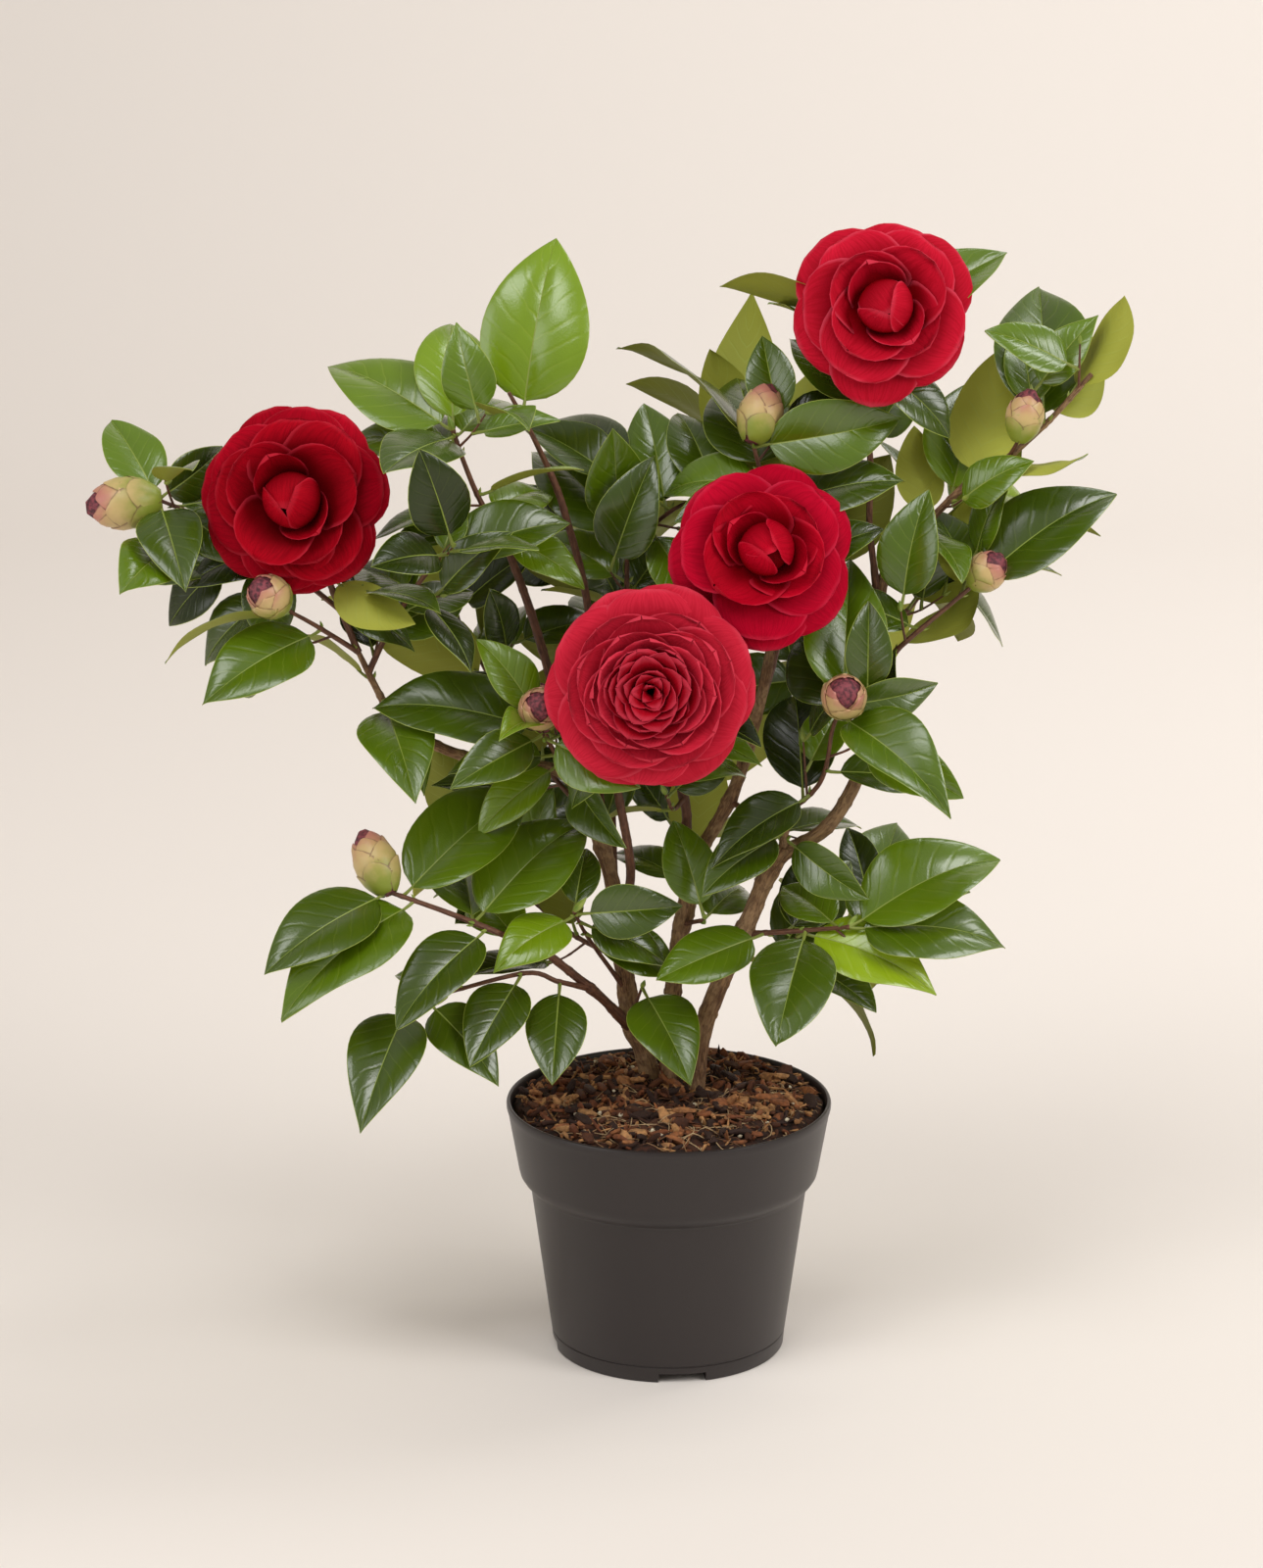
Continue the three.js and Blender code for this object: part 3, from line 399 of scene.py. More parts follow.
def leaf_outline(share):
    return math.sin(math.pi * share ** 0.9) ** 0.7


def petal_outline(share):
    return math.sin(math.pi * min(1, share ** 1.5 * 0.88 + 0.06)) ** 0.6


# ---- Growth ----
def start_on(host, at, toward, radius):
    """Where a limb or twig of some radius starts, just clear of the one that it grows from."""
    root, along = host.at(at), host.way(at)
    way = unit(np.array(toward, float) - root)
    tilt = math.acos(max(-1, min(1, float(np.dot(way, along)))))
    if at == 1:
        return root + way * (GAP + (radius + host.radii[1]) * math.sin(tilt) * 0.55) / math.cos(tilt / 2)
    return root + way * (host.radius(at) + GAP + radius * abs(math.cos(tilt))) / math.sin(tilt)


def heading_of(heading, lift):
    """A heading in the leaf plane, then lifted toward the light."""
    h, up = math.radians(heading), math.radians(lift)
    return (ACROSS * math.cos(h) + UPWARD * math.sin(h)) * math.cos(up) + LIGHT * math.sin(up)


def leaf_form(root, along, way, roll, length, draw):
    stalk = min(LEAF["stalk"], length * LEAF["stalk_share"])
    width = (length - stalk) * LEAF["width_share"] * between(draw, 0.92, 1.08)
    fold = math.radians(between(draw, 6, 20))
    arch = between(draw, 0.03, 0.08)
    return dict(root=root, stalk=stalk, along=along, way=way, roll=roll, length=length - stalk, width=width,
                fold=fold, arch=arch, twist=math.radians(between(draw, -14, 14)))


def leaf_shape(form, lean):
    """A leaf leaned toward the front or the back."""
    along = unit(form["along"] + FRONT * math.tan(math.radians(lean)))
    return {**form, "along": along, "base": form["root"] + along * form["stalk"],
            "up": facing(along, form["way"], form["roll"]), "thick": LEAF["thick"]}


def leaf_room(shape):
    """The room that its blade asks for: a little more than its size, without the stalk."""
    more = LEAF["clearance"]
    grown = {**shape, "stalk": 0, "length": shape["length"] + more, "width": shape["width"] + more,
             "thick": shape["thick"] + more}
    return blade_shell(grown, LEAF_STATIONS, leaf_outline)


BUD_ROOT = 1.5  # how far a bud reaches back into its twig


def bud_shell(root, along, length, width):
    up, aside = sides_of(along)
    shares, halves = [0, 0.22, 0.5, 0.8, 1], [0, 0.78, 1, 0.62, 0]
    return ring_shell(6, 4, lambda step, x, z: root + along * (length * shares[step] - BUD_ROOT)
                      + (aside * x + up * z) * width / 2 * halves[step])


def bloom_frame(bloom):
    """The way a bloom looks, and the way of its first petal."""
    face = turned(turned(FRONT, UP, math.radians(bloom["turn"][0])), ACROSS, math.radians(bloom["turn"][1]))
    return face, facing(face, UP, bloom["spin"])


def bloom_shells(root, bloom):
    face, first = bloom_frame(bloom)
    kind, width = bloom["kind"], bloom["width"]
    aside, heart = np.cross(face, first), width * kind["heart"]
    halves, heights = [0.1, 0.62, 1, 0.72, 0], [-0.06, 0.02, 0.16, 0.3, 0.34]
    shells = [ring_shell(10, 4, lambda step, x, z: root + face * heart * heights[step]
                         + (aside * x + first * z) * heart / 2 * halves[step])]
    for i in range(kind["petals"]):
        along = unit(turned(first, face, 2 * math.pi * i / kind["petals"]) + face * PETAL["rise"])
        shells.append(blade_shell(dict(
            base=root + face * PETAL["rise"] * width / 2, along=along, up=facing(along, face),
            length=width / 2, width=width / 2 * kind["breadth"], thick=PETAL["thick"],
            fold=math.radians(PETAL["fold"]), arch=PETAL["arch"], twist=math.radians(PETAL["twist"]),
        ), PETAL["stations"], petal_outline))
    return shells


limbs, roots, placed = {}, {}, []


def take_room(owner, kind, shell):
    placed.append(dict(owner=owner, kind=kind, shell=shell))


for limb in LIMBS:
    grounded = limb.get("on") == "soil"
    points = [np.array(p, float) for p in limb["points"]]
    if not grounded:
        host = limbs[limb["from"]]
        points.insert(0, start_on(host, limb["at"], limb["points"][0], limb["radii"][0]))
        roots[limb["name"]] = host.at(limb["at"])
    line = limbs[limb["name"]] = Line(points, limb["radii"])
    take_room(limb["name"], "wood", stick_shell(line, 2 * (len(points) - 1), limb["sides"], grounded,
                                                ROOT_FLARE if grounded else 1))

# What each mass bears: its twigs as (line, root on the host or None, where its leaves are, whether it ends in
# a bud or a bloom), its leaves' forms and shapes, its buds and its blooms.
masses = {}


def grow_twig(mass, twig, host, draw, grown):
    points = [np.array(p, float) for p in twig["points"]]
    thick = twig["thick"]
    if host:
        points.insert(0, start_on(host, mass["at"], twig["points"][0], thick / 2))
    line = Line(points, (thick / 2, thick * (0.4 if "bloom" in twig else 0.32)))
    name = mass["name"]
    take_room(name, "wood", stick_shell(line, 2 * (len(points) - 1), TWIG_SIDES))
    grown["twigs"].append((line, host.at(mass["at"]) if host else None, [leaf[0] for leaf in twig["leaves"]],
                           bool(twig.get("bloom")) or any(bud[0] == 1 for bud in twig.get("buds", ()))))
    for at, heading, length, *rest in twig["leaves"]:
        lift, roll = (rest + [0, 0])[:2]
        grown["forms"].append(leaf_form(line.at(at), heading_of(heading, lift), LIGHT, roll, length, draw))
    for at, heading, length, width, lift in twig.get("buds", ()):
        grown["buds"].append((line.at(at), heading_of(heading, lift), length, width))
        take_room(name, "bud", bud_shell(*grown["buds"][-1]))
    if "bloom" in twig:
        grown["blooms"].append((line.at(1), twig["bloom"]))
        for shell in bloom_shells(line.at(1), twig["bloom"]):
            take_room(name, "bloom", shell)


def grow_rear(mass, host, draw, grown):
    """A shoot at the back: it bows on its way out, and its leaves stand round it and face out and up."""
    tip, start = np.array(mass["tip"], float), host.at(mass["at"])
    middle = (start + tip) / 2 - UP * 0.08 * np.linalg.norm(tip - start)
    thick = REAR["thick"]
    line = Line([start_on(host, mass["at"], middle, thick / 2), middle, tip], (thick / 2, thick * 0.32))
    take_room(mass["name"], "wood", stick_shell(line, 4, TWIG_SIDES))
    way = unit(unit(tip * [1, 1, 0]) + UP * 1.1)
    count = int(line.length * (1 - REAR["bare"]) / REAR["spacing"]) + 3
    shares = [min(1, mix(REAR["bare"], 1, i / (count - 3))) for i in range(count)]
    grown["twigs"].append((line, start, shares, False))
    for i, at in enumerate(shares):
        spread = REAR["spread"] * between(draw, 0.8, 1.15) - (20 if i > count - 3 else 0)
        along = spread_from(line.way(at), way, REAR["turn"] * i, spread)
        roll = between(draw, -25, 25)
        length = between(draw, *REAR["length"])
        grown["forms"].append(leaf_form(line.at(at), along, way, roll, length, draw))


for index, mass in enumerate([*MASSES, *REAR_SHOOTS]):
    draw = random_from(REAR["seed"] + index)
    grown = masses[mass["name"]] = dict(twigs=[], forms=[], buds=[], blooms=[], leaves=[])
    host = limbs[mass["from"]]
    if "tip" in mass:
        grow_rear(mass, host, draw, grown)
    else:
        for i, twig in enumerate(mass["twigs"]):
            grow_twig(mass, twig, None if i else host, draw, grown)


def has_room(owner, shell):
    """A blade may lie against its own twigs and buds, and against nothing else."""
    return not any((other["owner"] != owner or other["kind"] in ("leaf", "bloom"))
                   and crosses(shell, other["shell"]) for other in placed)


def settle(name, form, leans, kept, fits=lambda shape: True):
    """Keeps a leaf at the first lean that finds room."""
    for lean in leans:
        shape = leaf_shape(form, lean)
        if fits(shape) and has_room(name, leaf_room(shape)):
            kept.append(shape)
            take_room(name, "leaf", blade_shell(shape, LEAF_STATIONS, leaf_outline))
            return


for name, grown in masses.items():
    for form in grown["forms"]:
        settle(name, form, LEANS, grown["leaves"])

# ---- Finer twigs than the part has: they fill the masses out where they find room, among their leaves ----
SPRIG = dict(every=30, reach=(16, 30), thick=1.5, leaves=2, length=(44, 62), spread=58, among=30, beyond=8,
             clear=27, seed=41)
GOLDEN = 137.5  # how far each leaf turns on from the one before
SIGHT = unit(-FRONT)  # the way one looks at the plant's front
FLOWER_BUD = 16  # shorter ones are leaf buds
OPEN = ("shoot_fork", "shoot_foot", "shoot_lone_leaf", "shoot_centre_low", "shoot_centre_front",
        "shoot_low_centre", "shoot_foot_left", "shoot_lower_left")  # these get none
for name, grown in masses.items():
    own = [piece["shell"] for piece in placed if piece["owner"] == name]
    grown["sprigs"], grown["small"] = [], []  # the sprigs' wood, and their leaves
    grown["box"] = (np.min([shell["low"] for shell in own], axis=0) - SPRIG["beyond"],
                    np.max([shell["high"] for shell in own], axis=0) + SPRIG["beyond"])


def within_reach(name, shape, middles):
    """Does a leaf stay in its mass's own box and, seen from the front, near a leaf that the part has too?"""
    tip, most = middle_of(shape, 1), middle_of(shape, 0.8)
    low, high = masses[name]["box"]
    return ((tip > low).all() and (tip < high).all()
            and np.hypot(middles[:, 0] - most[0], middles[:, 2] - most[2]).min() < SPRIG["among"])


def leaves_buds_in_sight(shape):
    """No sprig's leaf stands in front of a flower bud."""
    for grown in masses.values():
        for root, heading, length, _ in grown["buds"]:
            gap = middle_of(shape) - root - heading * length / 2
            ahead = gap @ SIGHT
            if length >= FLOWER_BUD and ahead < 0 and np.linalg.norm(gap - SIGHT * ahead) < SPRIG["clear"]:
                return False
    return True


def grow_sprig(name, line, at, turn, middles, draw):
    start, ahead = line.at(at), line.way(at)
    side = facing(ahead, unit(start * [1, 1, 0] + UP * 30), turn)
    tip = start + unit(side + ahead * 0.7 + UP * 0.2) * between(draw, *SPRIG["reach"])
    sprig = Line([start, (start + tip) / 2 - UP * 1.5, tip], (SPRIG["thick"] / 2, SPRIG["thick"] * 0.3))
    wood = stick_shell(sprig, 4, TWIG_SIDES)
    if any(other["owner"] != name and crosses(wood, other["shell"]) for other in placed):
        return
    found = []
    for i in range(SPRIG["leaves"] + 1):
        share = min(1, 0.45 + 0.55 * i / SPRIG["leaves"])
        spread = SPRIG["spread"] * between(draw, 0.7, 1.1)
        along = spread_from(sprig.way(share), LIGHT, GOLDEN * i + turn, spread)
        roll, length = between(draw, -30, 30), between(draw, *SPRIG["length"])
        form = leaf_form(sprig.at(share), along, LIGHT, roll, length, draw)
        settle(name, form, LEANS[:5], found,
               lambda shape: leaves_buds_in_sight(shape) and within_reach(name, shape, middles))
    if found:
        take_room(name, "wood", wood)
        masses[name]["sprigs"].append(sprig)
        masses[name]["small"] += found


def grow_sprigs():
    middles = np.array([middle_of(shape) for grown in masses.values() for shape in grown["leaves"]])
    draw = random_from(SPRIG["seed"])
    for name, grown in masses.items():
        if name in OPEN:
            continue
        for line, *_ in grown["twigs"]:
            count = max(1, round(line.length / SPRIG["every"]))
            for i in range(count):
                grow_sprig(name, line, (i + 0.7) / count, GOLDEN * i + 360 * draw(), middles, draw)


grow_sprigs()


# ---- Skins: many closed shapes gathered into the one mesh of a piece ----
def columns(*parts):
    return np.concatenate([np.atleast_1d(p) for p in parts])


def ring_spots(across, share, own):
    """The places in its own spread of a ring of points across a leaf or petal."""
    return np.stack([across, np.full(len(across), share), np.full(len(across), own)], axis=1)


class Pile:
    def __init__(self):
        self.points, self.quads, self.caps, self.finishes, self.spots = [], [], [], [[], []], []
        self.count = 0

    def skin(self, rings, finish, spots=None, ends=None):
        """A closed skin through rings of points. finish is a number, or one for each strip. ends are the
        numbers of the two end faces, and spots the points' places in the piece's own spread."""
        steps, sides = rings.shape[:2]
        index = self.count + np.arange(steps * sides).reshape(steps, sides)
        ahead = np.roll(index, -1, axis=1)
        self.points.append(rings.reshape(-1, 3))
        self.quads.append(np.stack([index[:-1], ahead[:-1], ahead[1:], index[1:]], axis=-1).reshape(-1, 4))
        self.finishes[0].append(np.broadcast_to(finish, (steps - 1, sides)).reshape(-1))
        self.caps += [index[0][::-1].tolist(), index[-1].tolist()]
        first = int(np.ravel(finish)[0])
        self.finishes[1] += [first, first] if ends is None else list(ends)
        self.spots.append(np.zeros((steps * sides, 3)) if spots is None else spots.reshape(-1, 3))
        self.count += steps * sides

    def piece(self, name, finishes, slot, *nodes, sharp=0.9):
        """The pile as one piece of the plant that stands for the named nodes."""
        mesh = bpy.data.meshes.new(name)
        faces = np.concatenate(self.quads).tolist() + self.caps
        mesh.from_pydata((np.concatenate(self.points) * MM).tolist(), [], faces)
        for finish in finishes:
            mesh.materials.append(finish)
        index = np.concatenate([*self.finishes[0], self.finishes[1]]).astype(np.int32)
        mesh.polygons.foreach_set("material_index", index)
        mesh.polygons.foreach_set("use_smooth", np.ones(len(faces), bool))
        spread = mesh.attributes.new("Spread", "FLOAT_VECTOR", "POINT")
        spread.data.foreach_set("vector", np.concatenate(self.spots).astype(np.float32).ravel())
        mesh.set_sharp_from_angle(angle=sharp)
        made = bpy.data.objects.new(name, mesh)
        bpy.context.scene.collection.objects.link(made)
        return belongs(made, slot, *nodes)


def belongs(made, slot, *nodes):
    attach(made, "root")
    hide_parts(*nodes)
    return made


def round_skin(pile, line, stops, sides, finish, start=None, draw=None, rough=0, ends=None):
    """A round skin along a line, through stops of (share of its length, radius), from a root further back if
    there is one. rough is how far its lengthwise ridges stand out. Its tip is drawn in, as wood ends."""
    count = max(8, int(line.length / 3))
    ways, outs = line.frames(count)
    turn = spaced(sides)
    ridges = np.array([draw() - 0.5 for _ in range(sides)]) * rough if rough else np.zeros(sides)
    rings = [(line.at(share), round(share * count), radius, share * line.length) for share, radius in stops]
    if start is not None:
        rings.insert(0, (start, 0, stops[0][1] * 1.1, -np.linalg.norm(start - line.at(0))))
    tip = rings[-1]
    rings += [(tip[0] + ways[-1] * tip[2] * more, count, tip[2] * share, tip[3] + tip[2] * more)
              for more, share in ((0.3, 0.85), (0.42, 0.55))]
    skin, spots, own = [], [], draw() * 500 if draw else 0
    for middle, place, radius, along in rings:
        way = ways[place]
        out = unit(outs[place] - way * np.dot(outs[place], way))
        aside = np.cross(way, out)
        wobble = ridges + (np.array([draw() - 0.5 for _ in range(sides)]) * rough * 0.6 if rough else 0)
        x, y = np.cos(turn), np.sin(turn)
        skin.append(middle + (radius * (1 + wobble))[:, None] * (x[:, None] * out + y[:, None] * aside))
        spots.append(np.stack([x * radius, y * radius, np.full(sides, along + own)], axis=1))
    pile.skin(np.array(skin), finish, np.array(spots), ends)


# ---- Leaves ----
MIDRIB, MARGIN = 0.36, 0.28
FULLER = dict(length=1.04, width=0.98)
RIB, EDGE, STALK = 2, 3, 4  # the finishes after the first tone's upper and under ones


def rounded(share, base, tip):
    """A leaf's outline, rounded at its base and drawn out to its tip, as a share of its half width."""
    widest = base / (base + tip)
    return (share / widest) ** base * ((1 - share) / (1 - widest)) ** tip


def grow_leaf(pile, shape, tone, rows, draw):
    """A thin closed blade: a groove along the midrib, sides that rise from it and turn down at the margin,
    and a drawn-out tip. tone is the first of its upper and under finishes."""
    length, width, up = shape["length"] * FULLER["length"], shape["width"] * FULLER["width"], shape["up"]
    aside = np.cross(shape["along"], up)
    wave, phase, droop = between(draw, 0.005, 0.018), draw(), between(draw, 0.0, 0.15)
    base_form, tip_form = between(draw, 0.5, 0.64), between(draw, 0.8, 1.1)
    fold, twist = shape["fold"] * between(draw, 0.9, 1.7), shape["twist"] + between(draw, -0.25, 0.25)
    even = np.linspace(0, 1, rows + 1)
    rings, spots, own = [], [], draw()
    for share in even * 0.5 + (1 - np.cos(np.pi * even)) * 0.25:
        half = max(width / 2 * rounded(share, base_form, tip_form), 0.85 if share < 0.5 else 0.2)
        rib = min(MIDRIB * (1.2 - share) / half, 0.3)
        edge = max(1 - MARGIN / half, 0.86)
        above = [-1, -edge, -0.8, -0.45, -rib, 0, rib, 0.45, 0.8, edge, 1]
        across = np.array(above + [0.8, 0.45, 0, -0.45, -0.8])
        size = np.abs(across)
        body = np.sqrt(1 - size ** 6) * 0.22 * np.repeat([1, -1], (11, 5))
        body[5] -= 0.22 * min(1, half / 6)
        body[13] -= 0.55 * (1.1 - share) * min(1, half / 4)
        rise = half * (np.sqrt(size ** 2 + 0.02) - 0.141) * math.sin(fold) * 1.1 - half * 0.12 * size ** 4
        ripple = np.sin(2 * math.pi * (1.7 * share + phase + 0.3 * np.sign(across)))
        rise += wave * length * ripple * size ** 2
        rise += 4 * shape["arch"] * length * share * (1 - share) - droop * length * share ** 4 + body
        turn = twist * (share - 0.3)
        way = aside * math.cos(turn) + up * math.sin(turn)
        middle = shape["base"] + shape["along"] * length * share
        rings.append(middle + (across * half * math.cos(fold))[:, None] * way + rise[:, None] * up)
        spots.append(ring_spots(across, share, own))
    strips = [EDGE, tone, tone, tone, RIB, RIB, tone, tone, tone, EDGE] + [tone + 1] * 6
    pile.skin(np.array(rings), np.array(strips), np.array(spots), (STALK, RIB))
    root, base = shape["root"], shape["base"]
    bow = up * shape["stalk"] * between(draw, -0.12, 0.02)
    stalk = Line([root, (root + base) / 2 + bow, base + shape["along"] * 2.5])
    round_skin(pile, stalk, [(0, 1.15), (0.3, 0.95), (0.6, 0.85), (1, 0.75)], 6, STALK)


# ---- Buds: a core under tiers of scales that lap over each other ----
SCALE, TIP, AXIL = range(3)
SCALE_TIERS = [  # count, from, to, stands out by, breadth
    (3, 0.3, 0.93, 0.0, 1.4), (4, 0.16, 0.86, 0.025, 1.2),
    (4, 0.06, 0.74, 0.05, 1.1), (4, 0.0, 0.46, 0.075, 1.0),
]


def bud_profile(share):
    shares, sizes = [0, 0.08, 0.22, 0.5, 0.8, 0.94, 1.02], [0.3, 0.52, 0.8, 1, 0.74, 0.46, 0.2]
    return float(np.interp(share, shares, sizes))


def grow_bud(pile, root, along, length, width, draw):
    up, aside = sides_of(along)
    foot = root - along * BUD_ROOT

    def spot(share, angle, out):
        radial = up * math.cos(angle) + aside * math.sin(angle)
        return foot + along * length * share + radial * width / 2 * (bud_profile(share) * 0.92 + out)

    turn = spaced(14)
    core = np.array([[spot(s, a, -0.02 + (between(draw, -0.05, 0.02) if s > 0.85 else 0)) for a in turn]
                     for s in np.linspace(0, 1.0, 10)])
    pile.skin(core, TIP)
    for tier, (count, low, high, out, breadth) in enumerate(SCALE_TIERS):
        for i in range(count):
            middle = 2 * math.pi * (i + tier * 0.5) / count + between(draw, -0.15, 0.15)
            top, own = high * between(draw, 0.94, 1.02), draw()
            rings, spots = [], []
            for s in [0, 0.15, 0.35, 0.55, 0.75, 0.88, 0.96, 1]:
                share = mix(low, top, s)
                half = breadth * max(0.1, math.sin(math.pi * (0.22 + 0.78 * s) ** 1.1) ** 0.6)
                free = out + 0.03 * s ** 3
                across = [*np.linspace(-1, 1, 7), 0.6, 0, -0.6]
                depth = [free + 0.03 * math.cos(a * 1.3) for a in across[:7]] + [free - 0.03] * 3
                rings.append([spot(share, middle + a * half, o) for a, o in zip(across, depth)])
                spots.append([(a, share, own) for a in across])
            pile.skin(np.array(rings), SCALE, np.array(spots))


# ---- Blooms ----
# Rings of petals from the outside in: (count, out, high, belly in, belly below, breadth, cup, loose).
# As shares of half the bloom's width: how far out and how high the rims are, how far the bellies lie inside
# and below the rims, and the petals' breadth. cup lifts a petal's sides, and loose is how far the petals of a
# ring differ.
FORMAL_RINGS = [
    (6, 1.0, 0.0, 0.42, -0.2, 1.12, 0.0, 1.6), (6, 0.95, 0.08, 0.38, -0.1, 1.06, 0.02, 1.8),
    (6, 0.78, 0.22, 0.22, 0.06, 0.94, 0.1, 1.8), (6, 0.66, 0.31, 0.17, 0.12, 0.86, 0.11, 1.5),
    (6, 0.555, 0.375, 0.14, 0.16, 0.77, 0.1, 1.2), (6, 0.47, 0.42, 0.12, 0.18, 0.69, 0.08, 1),
    (6, 0.4, 0.455, 0.11, 0.19, 0.61, 0.07, 0.8), (5, 0.34, 0.475, 0.1, 0.19, 0.57, 0.06, 0.7),
    (5, 0.285, 0.49, 0.09, 0.19, 0.5, 0.05, 0.6), (5, 0.23, 0.5, 0.08, 0.2, 0.42, 0.04, 0.5),
    (4, 0.175, 0.505, 0.06, 0.2, 0.38, 0.04, 0.4), (4, 0.12, 0.5, 0.04, 0.2, 0.28, 0.04, 0.3),
    (3, 0.07, 0.485, 0.02, 0.2, 0.2, 0.04, 0.2), (3, 0.03, 0.47, 0.0, 0.2, 0.14, 0.02, 0.2),
]
DOUBLE_RINGS = [
    (7, 1.0, -0.06, 0.42, -0.22, 1.02, 0.0, 1), (6, 0.94, 0.07, 0.36, -0.15, 1.0, 0.02, 1.5),
    (5, 0.84, 0.22, 0.3, -0.04, 1.0, 0.07, 3), (4, 0.68, 0.36, 0.2, 0.08, 0.94, 0.12, 3.6),
    (2, 0.46, 0.45, 0.06, 0.22, 0.68, 0.12, 2),
]
# The smaller doubles open wider, with fewer and larger petals.
LOOSE_UNDER = 100
LOOSE_RINGS = [
    (6, 1.05, -0.04, 0.42, -0.22, 1.14, 0.0, 1.8), (5, 0.93, 0.16, 0.34, -0.1, 1.12, 0.06, 2.6),
    (4, 0.7, 0.34, 0.22, 0.06, 1.08, 0.13, 3.4), (2, 0.47, 0.44, 0.06, 0.22, 0.72, 0.12, 2),
]
CALYX = (6, 0.3, 0.02, 0.1, 0.05, 0.28, 0.1, 1)  # the green scales under a bloom
# The closed ball at a double's heart: its radius and how high its middle is, how much longer than wide it is,
# the breadth of the petals folded over it, and how near the top each one's rim comes, in radians.
BALL = dict(radius=0.24, high=0.26, longer=0.25, breadth=0.95, ends=(-0.3, 0.3, 0.1))
PETAL_STOPS = [0, 0.12, 0.26, 0.4, 0.52, 0.62, 0.72, 0.81, 0.88, 0.94, 0.98, 1]
PETAL_ACROSS = columns(np.sin(np.linspace(-1, 1, 13) * math.pi / 2), 0.66, 0, -0.66)
PETAL_BODY = columns(np.sqrt(np.clip(1 - PETAL_ACROSS[:13] ** 2, 0, 1)), -np.sqrt(1 - PETAL_ACROSS[13:] ** 2))
PETAL_THICK = 0.35


def petal_breadth(share):
    if share < 0.6:
        return 0.3 + 0.7 * math.sin(math.pi / 2 * share / 0.6)
    return math.sqrt(max(0, 1 - ((share - 0.6) / 0.4) ** 2.4)) * 0.98 + 0.02


def grow_petal(pile, middle, face, out, ring, half, finish, draw):
    """A petal that bows from the bloom's middle out to its rim, and wraps round it as far as it is broad."""
    _, far, high, inside, below, breadth, cup, loose = ring
    aside = np.cross(face, out)
    far, high = far * (1 - loose * between(draw, 0, 0.05)), high + loose * between(draw, -0.025, 0.025)
    breadth, belly, belly_high = breadth * between(draw, 0.9, 1.08), far - inside, high - below
    notch = between(draw, 0.0, 0.05) if breadth > 0.55 else between(draw, -0.12, -0.02)
    own, wave, phase = draw(), between(draw, 0.004, 0.016), draw()
    curl, skew = between(draw, 0.02, 0.08), loose * between(draw, -0.08, 0.08)
    across, size = PETAL_ACROSS, np.abs(PETAL_ACROSS)
    rings, spots = [], []
    for share in PETAL_STOPS:
        rest = 1 - share
        back = notch * far * (1 - size * petal_breadth(share)) ** 1.5 * share ** 8
        reach = 0.03 * rest ** 2 + 2 * rest * share * belly + share ** 2 * far - back
        lift = 0.02 * rest ** 2 + 2 * rest * share * belly_high + share ** 2 * high
        run_out = -0.06 * rest + 2 * belly * (rest - share) + 2 * share * far
        run_up = -0.04 * rest + 2 * belly_high * (rest - share) + 2 * share * high
        scale = math.hypot(run_out, run_up)
        run_out, run_up = run_out / scale, run_up / scale
        side = across * breadth / 2 * petal_breadth(share)
        wrap = np.maximum(np.abs(reach), 0.55 * far + 0.12)
        angle = side / wrap + skew * share
        ripple = np.sin(2 * math.pi * (phase + across * 0.9 + share))
        rise = cup * breadth * size ** 2 + wave * ripple * share * size
        rise = rise - curl * share ** 8 - 0.05 * breadth * size ** 5
        rise = rise + PETAL_BODY * PETAL_THICK / half * min(1, 4 * rest + 0.3)
        away = reach - wrap * (1 - np.cos(angle)) - rise * run_up
        rings.append(middle + half * (away[:, None] * out + (wrap * np.sin(angle))[:, None] * aside
                                      + (lift + rise * run_out)[:, None] * face))
        spots.append(ring_spots(across, share, own))
    pile.skin(np.array(rings), finish, np.array(spots))


def grow_ball(pile, root, face, first, half, finish, draw):
    """The heart of a double: a ball, and petals folded over it."""
    centre = root + face * half * BALL["high"]

    def spots_on(ways, stands):
        longer = 1 + BALL["longer"] * np.clip(ways @ face, 0, 1)
        return centre + ways * (half * BALL["radius"] * stands * longer)[:, None]

    turn = spaced(24)
    around = np.cos(turn)[:, None] * first + np.sin(turn)[:, None] * np.cross(face, first)
    core = [spots_on(around * math.sin(polar) + face * math.cos(polar), np.full(24, 0.96))
            for polar in np.linspace(3, 0.05, 14)]
    # the core's spread sits near the petals' foot, so it takes their deep colour: painted shade in the gaps
    # between the folded petals
    pile.skin(np.array(core), finish, np.full((14, 24, 3), 0.4))
    for i, end in enumerate(BALL["ends"]):
        out = turned(first, face, 2.2 * i + between(draw, -0.4, 0.4))
        aside, own = np.cross(out, face), draw()
        rings, spots = [], []
        for share in PETAL_STOPS:
            polar = mix(2.2, end + between(draw, -0.03, 0.03), share)
            side = PETAL_ACROSS * BALL["breadth"] * petal_breadth(share)
            ahead = face * math.cos(polar) + out * math.sin(polar)
            ways = np.cos(side)[:, None] * ahead + np.sin(side)[:, None] * aside
            lift = 0.1 * share ** 5 + 0.06 * np.abs(PETAL_ACROSS) ** 3
            stands = 1.03 + 0.045 * i + lift + PETAL_BODY * PETAL_THICK / (half * BALL["radius"])
            rings.append(spots_on(ways, stands))
            spots.append(ring_spots(PETAL_ACROSS, share, own))
        pile.skin(np.array(rings), finish, np.array(spots))


